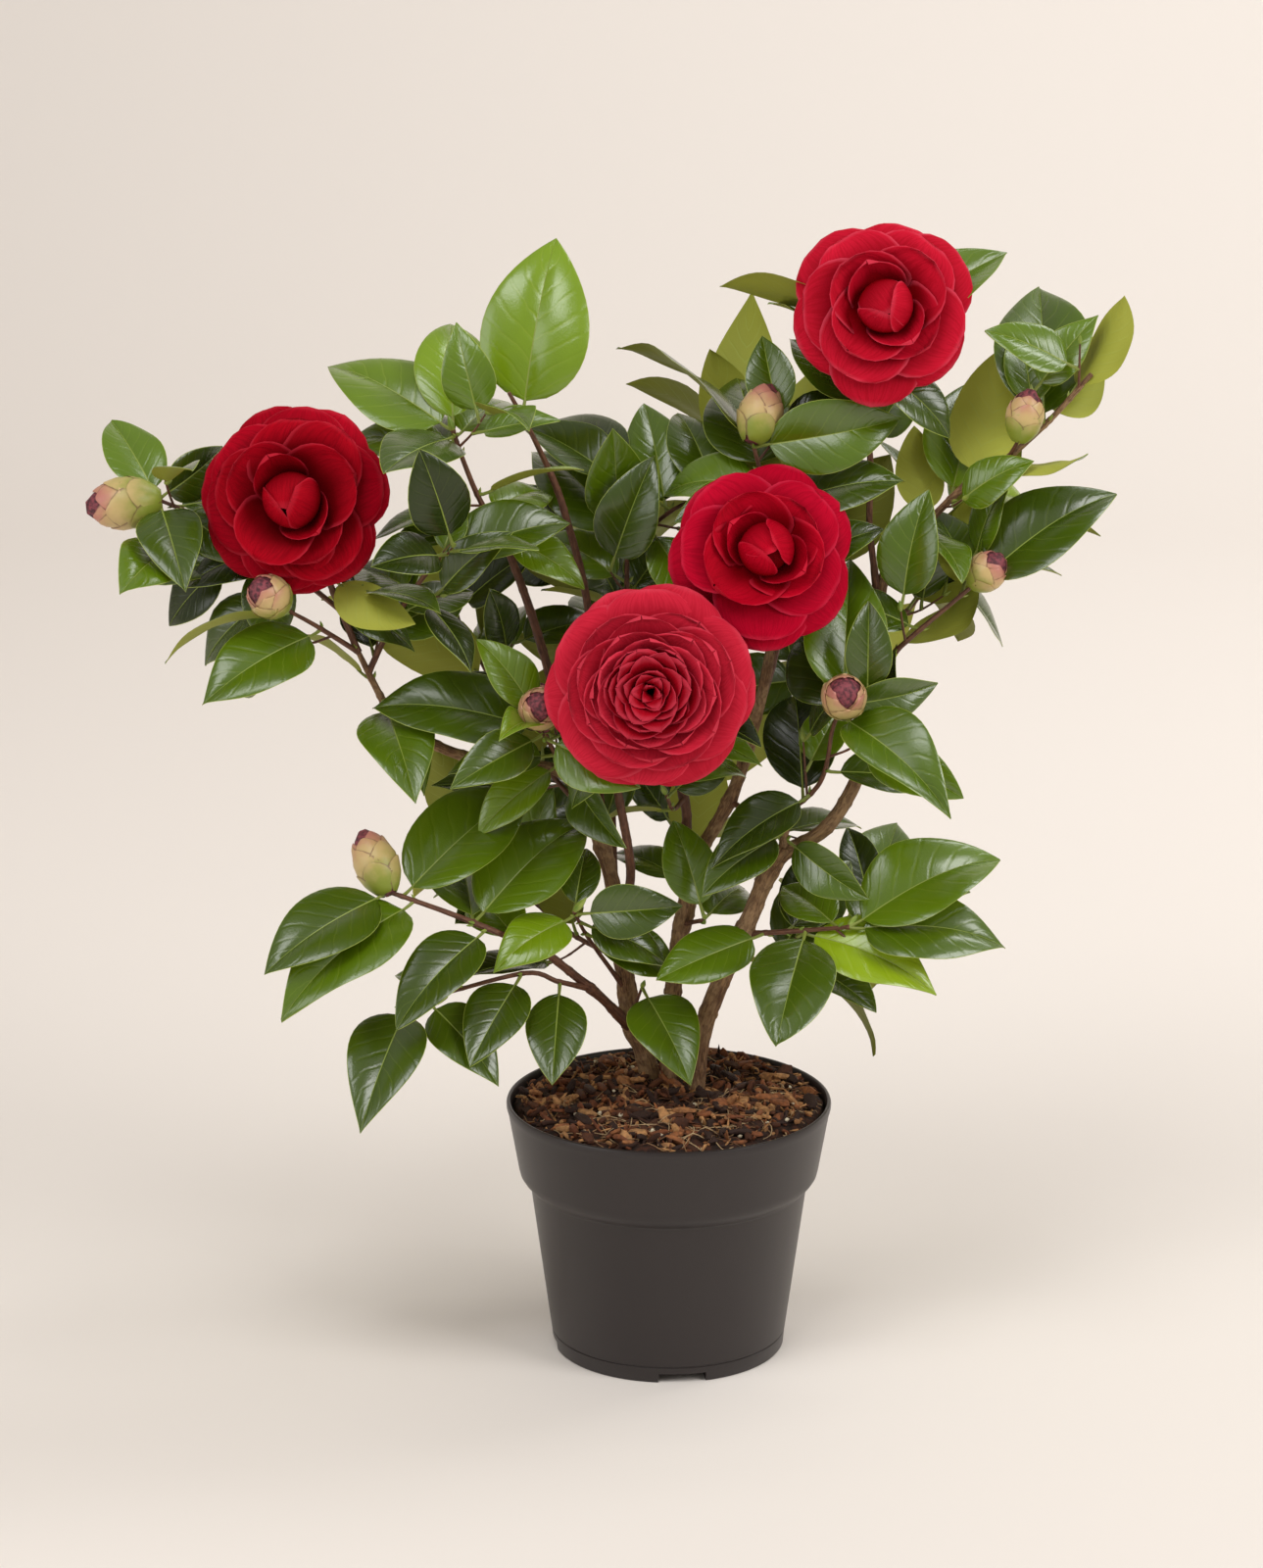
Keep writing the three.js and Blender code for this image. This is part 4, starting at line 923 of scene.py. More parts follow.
def grow_bloom(pile, root, bloom, first_finish, draw):
    """first_finish is the first of the bloom's own two. The green scales under it have finish 0."""
    face, first = bloom_frame(bloom)
    half = bloom["width"] / 2
    rings = LOOSE_RINGS if bloom["width"] < LOOSE_UNDER else DOUBLE_RINGS
    if bloom["kind"] is FORMAL:
        rings = FORMAL_RINGS
    turn = 0
    for tier, ring in enumerate(rings):
        turn += math.pi / ring[0] + between(draw, -0.15, 0.15)
        for i in range(ring[0]):
            out = turned(first, face, turn + 2 * math.pi * i / ring[0] + ring[-1] * between(draw, -0.1, 0.1))
            grow_petal(pile, root, face, out, ring, half, 1 + first_finish + (tier >= len(rings) * 0.4), draw)
    if bloom["kind"] is DOUBLE:
        grow_ball(pile, root, face, first, half, 2 + first_finish, draw)
    for i in range(CALYX[0]):
        out = turned(first, face, 2 * math.pi * i / CALYX[0])
        grow_petal(pile, root - face * half * 0.1, face, out, CALYX, half, 0, draw)


# ---- Finishes ----
def paint(code):
    """A colour from its hex code, in the linear light that shaders work in."""
    parts = [int(code[i:i + 2], 16) / 255 for i in (1, 3, 5)]
    return (*[p / 12.92 if p <= 0.04045 else ((p + 0.055) / 1.055) ** 2.4 for p in parts], 1)


def add(tree, kind, *values, out=0, **settings):
    """A shader node with its inputs set or linked in order, and one of its outputs."""
    made = tree.nodes.new("ShaderNode" + kind)
    for key, value in settings.items():
        setattr(made, key, value)
    for place, value in enumerate(values):
        if isinstance(value, bpy.types.NodeSocket):
            tree.links.new(value, made.inputs[place])
        elif value is not None:
            made.inputs[place].default_value = value
    return made.outputs[out]


def sums(tree, operation, *values):
    return add(tree, "Math", *values, operation=operation)


def times(tree, a, b):
    return sums(tree, "MULTIPLY", a, b)


def plus(tree, a, b):
    return sums(tree, "ADD", a, b)


def smooth(tree, value, low, high, start=0.0, end=1.0):
    return add(tree, "MapRange", value, low, high, start, end, interpolation_type="SMOOTHSTEP")


def noise(tree, place, scale, detail=2.0, stretch=(1, 1, 1)):
    stretched = add(tree, "VectorMath", place, tuple(scale * s for s in stretch), operation="MULTIPLY")
    return add(tree, "TexNoise", stretched, None, 1.0, detail)


def blend(tree, share, a, b):
    made = tree.nodes.new("ShaderNodeMix")
    made.data_type = "RGBA"
    for place, value in ((0, share), (6, a), (7, b)):
        if isinstance(value, bpy.types.NodeSocket):
            tree.links.new(value, made.inputs[place])
        else:
            made.inputs[place].default_value = value
    return made.outputs[2]


def spread(tree):
    return add(tree, "Attribute", attribute_name="Spread", out=1)


def spread_parts(tree):
    return [add(tree, "SeparateXYZ", spread(tree), out=i) for i in range(3)]


def here(tree):
    return add(tree, "TexCoord", out=3)


def group(name, outputs, build):
    """A shared effect, whose outputs are values between 0 and 1."""
    tree = bpy.data.node_groups.new(name, "ShaderNodeTree")
    for key in outputs:
        tree.interface.new_socket(key, in_out="OUTPUT", socket_type="NodeSocketFloat")
    end = tree.nodes.new("NodeGroupOutput")
    for place, socket in enumerate(build(tree)):
        tree.links.new(socket, end.inputs[place])
    return tree


def use(tree, shared):
    made = tree.nodes.new("ShaderNodeGroup")
    made.node_tree = shared
    return made.outputs


def finish(name, roughness, shade, depth=0.0, strength=0.5, **constants):
    """A material: shade gives its colour and, if it has relief, the height. depth is the relief in metres."""
    made = bpy.data.materials.new(name)
    made.use_nodes = True
    tree = made.node_tree
    main = tree.nodes["Principled BSDF"]
    main.inputs["Roughness"].default_value = roughness
    for key, value in constants.items():
        main.inputs[key.replace("_", " ")].default_value = value
    colour, *height = shade(tree)
    if isinstance(colour, bpy.types.NodeSocket):
        tree.links.new(colour, main.inputs["Base Color"])
    else:
        main.inputs["Base Color"].default_value = colour
    if height:
        bump = tree.nodes.new("ShaderNodeBump")
        bump.inputs["Strength"].default_value = strength
        bump.inputs["Distance"].default_value = depth
        tree.links.new(height[0], bump.inputs["Height"])
        tree.links.new(bump.outputs["Normal"], main.inputs["Normal"])
    return made


def leaf_veins(tree):
    """Veins that leave the midrib and bend to the tip, the pillows between them, and a change of tone."""
    side, share, own = spread_parts(tree)
    size = sums(tree, "ABSOLUTE", side)
    strayed = times(tree, noise(tree, here(tree), 60.0), 0.7)
    run = plus(tree, sums(tree, "SUBTRACT", times(tree, share, 7.5), times(tree, size, 1.9)), strayed)
    off = times(tree, sums(tree, "PINGPONG", run, 0.5), 2.0)
    vein = times(tree, smooth(tree, off, 0.0, 0.11, 1.0, 0.0), smooth(tree, size, 0.55, 0.9, 1.0, 0.0))
    pillow = smooth(tree, off, 0.0, 0.4)
    fine = noise(tree, here(tree), 1100.0, 3.0)
    slow = noise(tree, here(tree), 32.0, 3.0)
    tone = plus(tree, times(tree, own, 0.6), times(tree, slow, 0.5))
    height = plus(tree, times(tree, pillow, 0.55), times(tree, fine, 0.45))
    return vein, height, tone


def petal_grain(tree):
    """Fine lines that fan out from a petal's foot, its paler rim (its own paler margin with a painted
    highlight), a slow change of tone, and how far out from the foot a point lies, which paints shade at the
    petal's foot.
    """
    side, share, own = spread_parts(tree)
    lines = noise(tree, spread(tree), 1.0, 3.0, (26, 3.5, 40))
    lines = times(tree, smooth(tree, lines, 0.42, 0.62), smooth(tree, share, 0.3, 0.75))
    size = sums(tree, "ABSOLUTE", side)
    # a paler rim: partly the petal's own margin, partly a painted highlight where the rims catch the light
    rim = sums(tree, "MAXIMUM", smooth(tree, share, 0.9, 1.0), smooth(tree, size, 0.86, 1.0))
    slow = noise(tree, here(tree), 60.0, 2.0)
    tone = plus(tree, times(tree, own, 0.5), times(tree, slow, 0.5))
    # the last output grows from the petal's foot outward: the petals use it to paint shade at their feet
    return lines, rim, tone, smooth(tree, share, 0.35, 0.98)


def bark_grain(tree):
    """Striations along the wood, and patches."""
    place = spread(tree)
    lines = noise(tree, place, 1.0, 4.0, (1.6, 1.6, 0.11))
    cracks = noise(tree, place, 1.0, 3.0, (0.7, 0.7, 0.28))
    patches = noise(tree, place, 1.0, 2.0, (0.12, 0.12, 0.05))
    return smooth(tree, lines, 0.3, 0.7), smooth(tree, cracks, 0.36, 0.56), smooth(tree, patches, 0.38, 0.62)


VEINS = group("Leaf veins", ("Vein", "Height", "Tone"), leaf_veins)
PETALS = group("Petal grain", ("Lines", "Rim", "Tone", "Lit outward"), petal_grain)
GRAIN = group("Bark grain", ("Lines", "Cracks", "Patches"), bark_grain)


def upper_shade(deep, light, vein):
    def shade(tree):
        veins, height, tone = use(tree, VEINS)
        body = blend(tree, tone, paint(deep), paint(light))
        return blend(tree, times(tree, veins, 0.3), body, paint(vein)), height
    return shade


def petal_shade(deep, light, line, rim):
    def shade(tree):
        lines, rim_tint_and_highlight, tone, lit_outward = use(tree, PETALS)
        # the deep colour at the petal's foot is painted shade where the petals overlap; lit is how far a
        # point is out of it, varied by tone
        lit = times(tree, lit_outward, plus(tree, times(tree, tone, 0.5), 0.5))
        body = blend(tree, lit, paint(deep), paint(light))
        body = blend(tree, times(tree, lines, 0.35), body, paint(line))
        # the rim colour: the petal's own paler margin with a painted highlight
        return blend(tree, times(tree, rim_tint_and_highlight, 0.4), body, paint(rim)), lines
    return shade


def bark_shade(dark, light, patch):
    def shade(tree):
        lines, cracks, patches = use(tree, GRAIN)
        body = blend(tree, lines, paint(dark), paint(light))
        body = blend(tree, times(tree, patches, 0.6), body, paint(patch))
        return (blend(tree, cracks, blend(tree, 0.55, body, paint(dark)), body),
                plus(tree, times(tree, lines, 0.5), cracks))
    return shade


def plain(code):
    return lambda tree: (paint(code),)


def speckled(low, high, scale, detail=3.0):
    def shade(tree):
        grain = noise(tree, here(tree), scale, detail)
        return blend(tree, smooth(tree, grain, 0.35, 0.65), paint(low), paint(high)), grain
    return shade


def own_tone(codes, grain_scale):
    """Each chip or grain has one of a few tones, with a grain of its own."""
    def shade(tree):
        own = spread_parts(tree)[2]
        grain = noise(tree, here(tree), grain_scale, 4.0)
        body = paint(codes[0])
        for i, code in enumerate(codes[1:], 1):
            chosen = smooth(tree, own, (i - 0.6) / len(codes), (i + 0.4) / len(codes))
            body = blend(tree, chosen, body, paint(code))
        return blend(tree, smooth(tree, grain, 0.3, 0.7, 0.0, 0.55), body, paint(codes[0])), grain
    return shade


# The leaves' tones, oldest first, as (upper deep, upper light, vein, under deep, under light). The darkest
# tones also serve as painted shade for leaves hidden in the crown.
LEAF_TONES = [
    ("#161f01", "#293703", "#4a5818", "#6f7320", "#878b2c"),
    ("#2a3a02", "#4a6204", "#6c7c28", "#80842a", "#989c38"),
    ("#3a5003", "#617e08", "#80922e", "#8c9030", "#a9ad40"),
    ("#4c6605", "#7a980e", "#96a638", "#989c34", "#b4b84a"),
    ("#668008", "#96b21a", "#aab846", "#a0a438", "#babe50"),
]
RIB_FINISH = finish("Leaf rib", 0.4, plain("#8c9c42"))
EDGE_FINISH = finish("Leaf edge", 0.4, plain("#93a23c"))
STALK_FINISH = finish("Leaf stalk", 0.5, plain("#7e8a38"))
LEAF_FINISHES = []
for number, (deep, light, vein, under_deep, under_light) in enumerate(LEAF_TONES, 1):
    gloss, coat = (0.4, 0.1) if number == 1 else (0.65, 0.32)
    LEAF_FINISHES += [
        finish(f"Leaf upper {number}", 0.26, upper_shade(deep, light, vein), 0.0006, 0.35,
               Specular_IOR_Level=gloss, Coat_Weight=coat, Coat_Roughness=0.16),
        finish(f"Leaf under {number}", 0.6, upper_shade(under_deep, under_light, "#a3b45c"), 0.0004, 0.25,
               Specular_IOR_Level=0.3)]
LEAF_FINISHES[2:2] = [RIB_FINISH, EDGE_FINISH, STALK_FINISH]
TONE_STARTS = [0, 5, 7, 9, 11]  # where each tone's upper and under finishes are, among LEAF_FINISHES


def scale_shade(tree):
    """A bud's scale: green at its foot, rose and cream toward its rim, with a thin brown edge."""
    side, share, own = spread_parts(tree)
    mottle = noise(tree, here(tree), 220.0, 3.0)
    up = plus(tree, share, plus(tree, times(tree, own, 0.3), times(tree, mottle, 0.3)))
    body = blend(tree, smooth(tree, up, 0.4, 0.9), paint("#86932f"), paint("#c8ad74"))
    body = blend(tree, smooth(tree, up, 0.85, 1.3), body, paint("#bd7a6c"))
    edge = smooth(tree, sums(tree, "ABSOLUTE", side), 0.82, 1.0, 0.0, 0.7)
    return blend(tree, edge, body, paint("#6b4034")), mottle


BUD_FINISHES = [
    finish("Bud scale", 0.42, scale_shade, 0.0003, 0.4),
    finish("Bud tip", 0.65, speckled("#4b2029", "#8b3f49", 500.0), 0.0006, 0.8),
    finish("Bud axil", 0.45, speckled("#6f8a2e", "#97a548", 160.0)),
]
SCALE_FINISH = finish("Bloom scale", 0.5, speckled("#5f7a2c", "#7e9440", 200.0))
BLOOM_FINISHES = {  # outer and inner petals: the deep colour, painted shade at the petal's foot; the light colour further out; the fine lines; the rim, the petal's own paler margin with a painted highlight
    "bloom_main": [
        ("#86000e", "#dc2c44", "#a00c22", "#e65266"),
        # its inner petals are far darker than the outer ones: painted shade deep in the bloom's heart
        ("#4a0004", "#b20a20", "#70000c", "#e04e64"),
    ],
    "bloom_centre": [
        ("#880014", "#cc0a30", "#880018", "#dc3a58"),
        ("#7c000c", "#cc0828", "#840010", "#da3048"),
    ],
    "shoot_left": [
        ("#68000a", "#ba0622", "#6c000c", "#cc3648"),
        ("#600006", "#ba061e", "#66000a", "#cc3446"),
    ],
    "shoot_top_bloom": [
        ("#84000c", "#d81c38", "#940612", "#e45a70"),
        ("#780008", "#d41632", "#86000c", "#e04e64"),
    ],
}

OLD_BARK = finish("Bark old", 0.8, bark_shade("#5f412b", "#a07a55", "#b0906a"), 0.0008, 0.7)
YOUNG_BARK = finish("Bark young", 0.6, bark_shade("#4a291b", "#80533a", "#6b4531"), 0.0004, 0.5)
CUT_WOOD = finish("Cut wood", 0.8, speckled("#8d6d48", "#b39468", 400.0))
PLASTIC = finish("Pot plastic", 0.38, lambda tree: (
    blend(tree, noise(tree, here(tree), 9.0), paint("#221b1a"), paint("#2b2423")),
    noise(tree, here(tree), 1500.0, 2.0)), 0.00012, 0.35)
EARTH = finish("Soil", 0.95, speckled("#1c0d04", "#402010", 260.0, 5.0), 0.0015, 0.8)
CHIP = finish("Bark chips", 0.8, own_tone(["#2a1206", "#52290f", "#7e4524", "#9f6237", "#c08c58"], 420.0),
              0.0007, 0.8)
FIBRE = finish("Coir", 0.8, own_tone(["#6b472f", "#a07b54", "#cdb084"], 300.0))
PERLITE = finish("Perlite", 0.8, speckled("#b9a98c", "#e2d7bd", 700.0), 0.0004, 0.6)


# ---- Pot: a cylinder's top is drawn out ring by ring, up the outside and down the inside ----
def edit(made, mode="FACE"):
    bpy.ops.object.select_all(action="DESELECT")
    bpy.context.view_layer.objects.active = made
    made.select_set(True)
    bpy.ops.object.mode_set(mode="EDIT")
    bpy.ops.mesh.select_mode(type=mode)
    bpy.ops.mesh.select_all(action="DESELECT")


def pick(made, test):
    """Selects the faces whose middle and normal pass the test, in edit mode."""
    bpy.ops.object.mode_set(mode="OBJECT")
    for face in made.data.polygons:
        face.select = test(face.center, face.normal)
    bpy.ops.object.mode_set(mode="EDIT")


def cut_away(made, *cutters):
    for cutter in cutters:
        modifier = made.modifiers.new("Cut", "BOOLEAN")
        modifier.operation, modifier.object, modifier.solver = "DIFFERENCE", cutter, "EXACT"
        bpy.context.view_layer.objects.active = made
        bpy.ops.object.modifier_apply(modifier=modifier.name)
        bpy.data.objects.remove(cutter, do_unlink=True)


def apply_place(made):
    bpy.ops.object.select_all(action="DESELECT")
    made.select_set(True)
    bpy.context.view_layer.objects.active = made
    bpy.ops.object.transform_apply(location=True, rotation=True, scale=True)


def drain_cutters(turn):
    """What a channel under the pot, with narrowed top, and the drain hole in it are cut with."""
    reach = POT["foot"] + 6 - DRAIN["inner"]  # it runs out past the wall
    middle, at = (DRAIN["inner"] + reach / 2) * MM, DRAIN["hole_at"] * MM
    x, y = math.cos(turn), math.sin(turn)
    bpy.ops.mesh.primitive_cube_add(size=1, location=(middle * x, middle * y, 0), rotation=(0, 0, turn))
    channel = bpy.context.object
    channel.scale = (reach * MM, DRAIN["width"] * MM, 2 * DRAIN["depth"] * MM)
    apply_place(channel)
    edit(channel)
    pick(channel, lambda middle, normal: normal.z > 0.9)
    bpy.ops.transform.resize(value=(0.985, 0.86, 1), orient_type="LOCAL",
                             center_override=(middle * x, middle * y, DRAIN["depth"] * MM))
    bpy.ops.object.mode_set(mode="OBJECT")
    bpy.ops.mesh.primitive_cylinder_add(vertices=32, radius=DRAIN["hole"] * MM, depth=30 * MM,
                                        location=(at * x, at * y, 0))
    return channel, bpy.context.object


def inside_at(height):
    """The radius inside the pot's body."""
    return mix(POT["foot"], POT["body"], height / POT["step_bottom"]) - POT["wall"]


def make_pot():
    mouth, base, edge = POT["rim"] - POT["lip"], 60.2, 0.9  # the underside's radius, and its edge's height
    profile = [  # (radius, height), up the outside from the underside's edge, over the rim and down inside
        (61.0, edge), (61.7, 8.2), (61.3, 8.5), (61.3, 8.9), (61.9, 9.3), (72.6, 88.6), (72.9, 89.6),
        (73.6, 90.2), (74.4, 91.0), (76.6, 93.4), (78.0, 95.6), (78.7, 98.4), (84.0, 128.6), (84.5, 130.2),
        (84.9, 131.6), (85.0, 133.4), (84.6, 134.6), (83.9, 135.0), (83.1, 134.8), (mouth, 133.8),
        (mouth - 0.8, 129.0), (POT["collar"] - POT["wall"], 98.8), (75.0, 95.6), (inside_at(90.6), 90.6),
        (inside_at(8.0), 8.0), (inside_at(8.0) - 1.2, POT["floor"]),
    ]
    bpy.ops.mesh.primitive_cylinder_add(vertices=128, radius=base * MM, depth=edge * MM,
                                        location=(0, 0, edge / 2 * MM))
    made = bpy.context.object
    made.name = "nursery_pot"
    apply_place(made)
    edit(made)
    pick(made, lambda middle, normal: normal.z > 0.9)
    grown = profile[0][0] / base
    bpy.ops.transform.resize(value=(grown, grown, 1), center_override=(0, 0, edge * MM))
    for (radius, height), (next_radius, next_height) in zip(profile, profile[1:]):
        bpy.ops.mesh.extrude_region_move(
            TRANSFORM_OT_translate={"value": (0, 0, (next_height - height) * MM)})
        grown = next_radius / radius
        bpy.ops.transform.resize(value=(grown, grown, 1), center_override=(0, 0, next_height * MM))
    bpy.ops.object.mode_set(mode="OBJECT")
    cutters = []
    for i in range(DRAIN["count"]):
        cutters += drain_cutters(math.radians(DRAIN["turn"] + i * 360 / DRAIN["count"]))
    cut_away(made, *cutters)
    apply_place(made)
    bpy.ops.object.shade_smooth_by_angle(angle=math.radians(40))
    made.data.materials.append(PLASTIC)
    return belongs(made, "pot", "pot")


make_pot()

# ---- Soil: a worn surface, and on it bark chips, coir and a few pale grains, each kind a joined mesh ----
fine = random_from(77)
SCATTER, WALL_AT = 76, 80  # how far from the middle loose pieces start, and where the pot's wall stops them


def soil_height(x, y):
    reach = math.hypot(x, y)
    level = np.interp(reach, [0, SOIL["flat"], SOIL["shoulder_radius"], 80],
                      [SOIL["middle"], SOIL["middle"], SOIL["shoulder"] + 1, SOIL["edge"] + 2.2])
    swell = 1.5 * math.sin(x * 0.16 + 1) * math.cos(y * 0.13)
    return float(level + swell + 0.9 * math.sin(x * 0.43 - y * 0.34))


def make_soil():
    pile = Pile()
    turn, rings, clear = spaced(96), [], 0.6
    walls = [(inside_at(7) - clear, 7.3), (inside_at(50) - clear, 50), (inside_at(90) - clear, 90)]
    for radius, height in [*walls, (75.5, 99), (81.0, 126)]:
        rings.append([(radius * math.cos(a), radius * math.sin(a), height) for a in turn])
    for radius in [81.2, *np.linspace(79.5, 2, 30)]:
        sunk = 2.5 if radius > 81 else 0
        places = [(radius * math.cos(a), radius * math.sin(a)) for a in turn]
        rings.append([(x, y, soil_height(x, y) + between(fine, -1.1, 0.6) - sunk) for x, y in places])
    pile.skin(np.array(rings), 0)
    pile.piece("soil_surface", [EARTH], "soil", "soil", sharp=3)


def scattered(reach, lift):
    radius, turn = reach * math.sqrt(fine()), 2 * math.pi * fine()
    x, y = radius * math.cos(turn), radius * math.sin(turn)
    return np.array([x, y, soil_height(x, y) + lift])


def make_chips(count):
    """Each chip is a torn slab of wood, with an uneven outline. A few are long splinters."""
    pile = Pile()
    for _ in range(count):
        size, splinter = between(fine, 0, 1) ** 1.9, fine() < 0.2
        long, wide, thick = mix(2.6, 15, size), mix(1.8, 9, size) * between(fine, 0.5, 1), mix(0.9, 2.8, size)
        if splinter:
            long, wide, thick = between(fine, 7, 20), between(fine, 0.9, 2.4), between(fine, 0.5, 1.2)
        middle = scattered(80.5 - long * 0.42, between(fine, -0.8, 1.8 + 1.8 * size))
        way = turned(ACROSS, UP, 2 * math.pi * fine())
        tilt = between(fine, -1, 1) ** 3 * 1.3
        along = way * math.cos(tilt) + UP * math.sin(tilt)
        up = facing(along, UP, between(fine, -1, 1) ** 3 * 85)
        aside = np.cross(along, up)
        outline = [(between(fine, 0.72, 1.1) * math.cos(a), between(fine, 0.7, 1.15) * math.sin(a))
                   for a in spaced(7)]
        own = between(fine, 0, 1) ** (0.6 if splinter else 1.4)
        rings = np.array([[middle + along * long / 2 * x * grown + aside * wide / 2 * y * grown
                           + up * (thick * level + 0.3 * between(fine, -1, 1)) for x, y in outline]
                          for level, grown in ((-0.5, 0.8), (-0.15, 1), (0.3, 0.96), (0.5, 0.72))])
        pile.skin(rings, 0, np.full((4, 7, 3), own))
    pile.piece("bark_chips", [CHIP], "soil", "soil", sharp=0.6)


def make_fibres(count):
    pile = Pile()
    for _ in range(count):
        start = scattered(SCATTER, between(fine, 0.4, 2.0))
        way = turned(ACROSS, UP, 2 * math.pi * fine())
        long = between(fine, 6, 26)
        points, heading = [start], way
        for _ in range(3):
            heading = turned(heading, UP, between(fine, -0.5, 0.5))
            step = points[-1] + heading * long / 3
            if math.hypot(step[0], step[1]) > WALL_AT:
                step[:2] *= WALL_AT / math.hypot(step[0], step[1])
            step[2] = soil_height(step[0], step[1]) + between(fine, 0.2, 3.2)
            points.append(step)
        thick = between(fine, 0.16, 0.42)
        line = Line(points)
        skin = []
        for share in np.linspace(0, 1, 7):
            along = line.way(share)
            out = unit(np.cross(along, [0.3, 0.2, 1]))
            aside = np.cross(along, out)
            radius = thick * (1 - 0.6 * abs(share - 0.4))
            skin.append([line.at(share) + out * radius * math.cos(a) + aside * radius * math.sin(a)
                         for a in (0, 2.1, 4.2)])
        pile.skin(np.array(skin), 0, np.full((7, 3, 3), fine()))
    pile.piece("coir", [FIBRE], "soil", "soil", sharp=3)


def make_grains(count):
    pile = Pile()
    for _ in range(count):
        middle, size = scattered(SCATTER, 1.6), between(fine, 0.7, 1.5)
        rings = [[middle + np.array([math.cos(a) * w * between(fine, 0.8, 1.2), math.sin(a) * w
                                     * between(fine, 0.8, 1.2), h]) * size for a in np.linspace(0, 5.2, 6)]
                 for w, h in ((0.4, -0.8), (0.95, -0.3), (1, 0.3), (0.45, 0.85))]
        pile.skin(np.array(rings), 0)
    pile.piece("perlite", [PERLITE], "soil", "soil", sharp=0.8)


make_soil()
make_chips(count=1700)
make_fibres(count=420)
make_grains(count=26)


# ---- Wood: each limb and twig swells where a leaf or another limb leaves it ----
OLD_LIMB, OLD_TWIG = 2.9, 1.9  # thicker ones than these radii have old bark
CUT_ENDS = {"shoot_lone_leaf": [0], "shoot_right": [0], "shoot_left": [4]}  # the twigs that were pruned
OLD, YOUNG, CUT = 0, 1, 2  # the finishes of wood


def swollen(line, knots, spacing, flare=0.0, reach=5.0):
    """Stops along a line, closer where it swells. A knot is (share, how much it swells, over what length)."""
    count = max(4, round(line.length / spacing))
    shares = set(np.linspace(0, 1, count + 1).round(4))
    for share, _, width in knots:
        near = [share + offset * width / line.length for offset in (-1.5, -0.6, 0, 0.6, 1.5)]
        shares |= {round(min(1, max(0, stop)), 4) for stop in near}
    stops = []
    for share in sorted(shares):
        radius = line.radius(share) * (1 + flare * math.exp(-(share * line.length / reach) ** 2))
        for knot, more, width in knots:
            radius *= 1 + more * math.exp(-((share - knot) * line.length / width) ** 2)
        stops.append((share, radius))
    kept = [stops[0]]
    for stop in stops[1:]:
        if (stop[0] - kept[-1][0]) * line.length > 0.35:
            kept.append(stop)
    return kept


def make_limbs():
    for limb in LIMBS:
        name, line = limb["name"], limbs[limb["name"]]
        grounded = limb.get("on") == "soil"
        knots = [(other["at"], 0.22, 5.5) for other in [*LIMBS, *MASSES, *REAR_SHOOTS]
                 if other.get("from") == name and other["at"] < 1]
        share = between(fine, 0.04, 0.1)
        while share < 0.97:
            knots.append((share, between(fine, 0.05, 0.13), 1.3))
            share += between(fine, 9, 20) / line.length
        pile = Pile()
        if grounded:
            foot = line.at(0) - np.array([0, 0, 9])
            stops = swollen(line, knots, 3.0, 0.14, 8.0)
            round_skin(pile, line, stops, 20, OLD, foot, fine, 0.11, (OLD, OLD))
        else:
            stops = swollen(line, knots, 3.0, 0.2, 4.0)
            bark = OLD if line.radii[0] > OLD_LIMB else YOUNG
            round_skin(pile, line, stops, 16, bark, roots[name], fine, 0.1)
        pile.piece(f"{name}_bark", [OLD_BARK, YOUNG_BARK], "bark", name, sharp=3)


def make_twigs():
    pile, buds = Pile(), Pile()
    for name, grown in masses.items():
        for i, (line, root, shares, ended) in enumerate(grown["twigs"]):
            knots = [(share, 0.16, 1.2) for share in shares]
            cut = i in CUT_ENDS.get(name, ())
            finish_of = OLD if line.radii[0] > OLD_TWIG else YOUNG
            round_skin(pile, line, swollen(line, knots, 3.5, 0.15, 2.5), 9, finish_of, root, fine, 0.09,
                       (finish_of, CUT if cut else finish_of))
            for share in shares:
                if 0.05 < share < 0.96:
                    small_bud(buds, line, share, between(fine, 2.6, 4.4))
            if not ended and not cut:
                small_bud(buds, line, 1, between(fine, 5.5, 8.5))
        for line in grown["sprigs"]:
            stops = swollen(line, [(0.45, 0.2, 1), (0.7, 0.2, 1)], 4.0)
            round_skin(pile, line, stops, 7, YOUNG, None, fine, 0.05)
            small_bud(buds, line, 1, between(fine, 4, 7))
    pile.piece("twigs", [OLD_BARK, YOUNG_BARK, CUT_WOOD], "bark", *masses, sharp=0.7)
    return buds


def small_bud(pile, line, share, length):
    """A leaf bud in an axil or on a twig's end."""
    along, spot = line.way(share), line.at(share)
    if share < 1:
        out = facing(along, turned(UP, along, 2 * math.pi * fine()))
        spot, along = spot + out * line.radius(share) * 0.8, unit(along + out * 0.7)
    up, aside = sides_of(along)
    rings = [[spot + along * length * share + (up * math.cos(a) + aside * math.sin(a)) * length * radius
              for a in spaced(6)]
             for share, radius in ((-0.1, 0.1), (0.12, 0.2), (0.42, 0.22), (0.75, 0.12), (1, 0.02))]
    pile.skin(np.array(rings), AXIL)


make_limbs()
buds = make_twigs()

# ---- Leaves, buds and blooms ----
YOUNG_MASSES = ("shoot_right", "shoot_right_bud", "shoot_upper_left", "shoot_lower_right")
YOUNGER, HIDDEN_SHADE = 0.2, 0.24  # what these masses add to a leaf's freshness, and the painted shade that hidden places take away, toward the darker tones
TONE_LIMITS = [0.04, 0.5, 0.95, 1.12]  # the freshness, less painted shade, at which the next tone starts
TURNED_OVER = 150  # a leaf rolled this far shows its under side


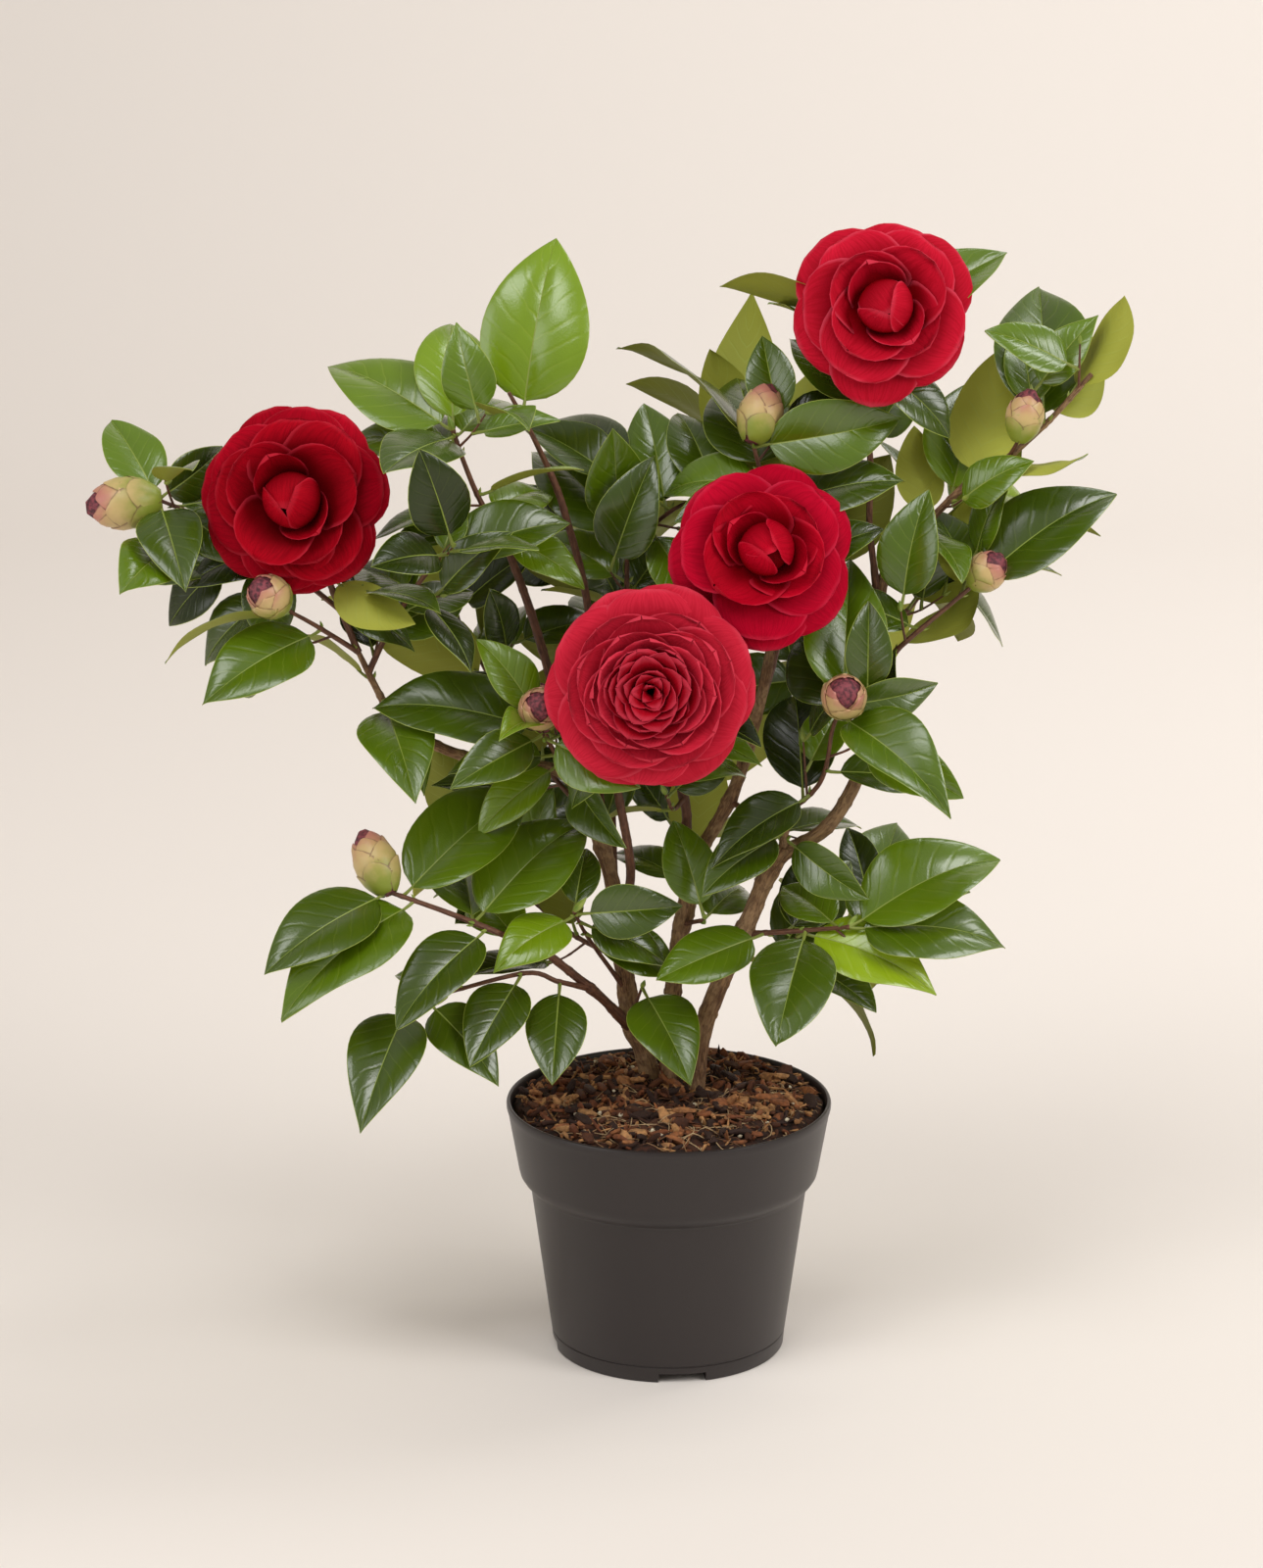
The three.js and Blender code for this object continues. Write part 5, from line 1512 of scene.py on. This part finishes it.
def make_foliage():
    fronts, rears, flowers, bloom_finishes = Pile(), Pile(), Pile(), []
    for name, grown in masses.items():
        rear = name.startswith("rear")
        for i, shape in enumerate([*grown["leaves"], *grown["small"]]):
            hidden = rear or i >= len(grown["leaves"])
            # hidden leaves, at the back and on the sprigs, are pushed toward the darker tones as painted
            # shade
            freshness_less_shade = fine() + (YOUNGER if name in YOUNG_MASSES else 0) - (HIDDEN_SHADE if hidden else 0)
            tone = TONE_STARTS[int(np.searchsorted(TONE_LIMITS, freshness_less_shade))]
            if abs(shape["roll"]) >= TURNED_OVER:
                tone = TONE_STARTS[3]
            grow_leaf(rears if rear else fronts, shape, tone, 12 if hidden else 18, fine)
        for bud in grown["buds"]:
            if bud[2] < FLOWER_BUD:
                line = Line([bud[0], bud[0] + bud[1]], (1, 1))
                small_bud(buds, line, 1, bud[2])
            else:
                grow_bud(buds, *bud, fine)
        for root, bloom in grown["blooms"]:
            first = len(bloom_finishes)
            for part, codes in zip(("outer", "inner"), BLOOM_FINISHES[name]):
                bloom_finishes.append(finish(f"Petal {name} {part}", 0.6, petal_shade(*codes), 0.0002, 0.25,
                                             Specular_IOR_Level=0.03))
            grow_bloom(flowers, root, bloom, first, fine)
    names = [name for name in masses if not name.startswith("rear")]
    fronts.piece("leaves_front", LEAF_FINISHES, "foliage", *names)
    rears.piece("leaves_rear", LEAF_FINISHES, "foliage", *(name for name in masses if name not in names))
    buds.piece("buds", BUD_FINISHES, "foliage", *names)
    flowers.piece("blooms", [SCALE_FINISH, *bloom_finishes], "foliage", *BLOOM_FINISHES)


make_foliage()


# ---- Studio: a pale floor that curves up into its backdrop, a key, two softboxes and a backdrop light ----
def pick_edges(made, test):
    """Selects the edges whose ends both pass the test, in edit mode."""
    bpy.ops.object.mode_set(mode="OBJECT")
    ends = made.data.vertices
    for edge in made.data.edges:
        edge.select = all(test(ends[i].co) for i in edge.vertices)
    bpy.ops.object.mode_set(mode="EDIT")


def make_studio():
    bpy.ops.mesh.primitive_plane_add(size=1, location=(0, 0.2, 0))
    floor = bpy.context.object
    floor.name = "studio_floor"
    floor.scale = (12, 7, 1)
    apply_place(floor)
    edit(floor, "EDGE")
    pick_edges(floor, lambda end: end.y > 3)
    bpy.ops.mesh.extrude_region_move(TRANSFORM_OT_translate={"value": (0, 0, 5)})
    pick_edges(floor, lambda end: end.y > 3 and end.z < 0.1)
    bpy.ops.mesh.bevel(offset=1.6, segments=24, affect="EDGES")
    bpy.ops.object.mode_set(mode="OBJECT")
    bpy.ops.object.shade_smooth()
    floor.data.materials.append(finish("Backdrop", 0.95, plain("#efe8e1")))


def look(made, place, target):
    """Turns a light or camera at a place to face a target."""
    made.rotation_euler = (Vector(target) - Vector(place)).to_track_quat("-Z", "Y").to_euler()


def area_light(name, place, target, size, power, colour=(1, 1, 1)):
    bpy.ops.object.light_add(type="AREA", location=place)
    light = bpy.context.object
    light.name = name
    light.data.shape, light.data.size = "SQUARE", size
    light.data.energy, light.data.color = power, colour
    look(light, place, target)


make_studio()
MIDDLE = (0, 0, 0.32)
area_light("Key", (1.85, -1.2, 1.55), MIDDLE, 1.1, 27, (1, 0.99, 0.98))
area_light("Overhead", (-0.5, -1.1, 2.1), MIDDLE, 1.0, 15)
area_light("Wall", (1.6, 0.9, 2.6), (0.3, 3.6, 1.1), 1.6, 57)
area_light("Fill", (-2.2, -1.4, 1.2), MIDDLE, 1.6, 17)
scene = bpy.context.scene
world = bpy.data.worlds.new("Studio")
world.use_nodes = True
world.node_tree.nodes["Background"].inputs["Color"].default_value = paint("#fdf6ef")
world.node_tree.nodes["Background"].inputs["Strength"].default_value = 0.38
scene.world = world
scene.view_settings.view_transform = "Standard"

CAMERA_AT, CAMERA_AIM = (-0.0195, -2.12504, 0.8744), (-0.0195, 0, 0.305)
bpy.ops.object.camera_add(location=CAMERA_AT)
camera = bpy.context.object
camera.data.lens, camera.data.sensor_width = 98.4, 36
look(camera, CAMERA_AT, CAMERA_AIM)
scene.camera = camera
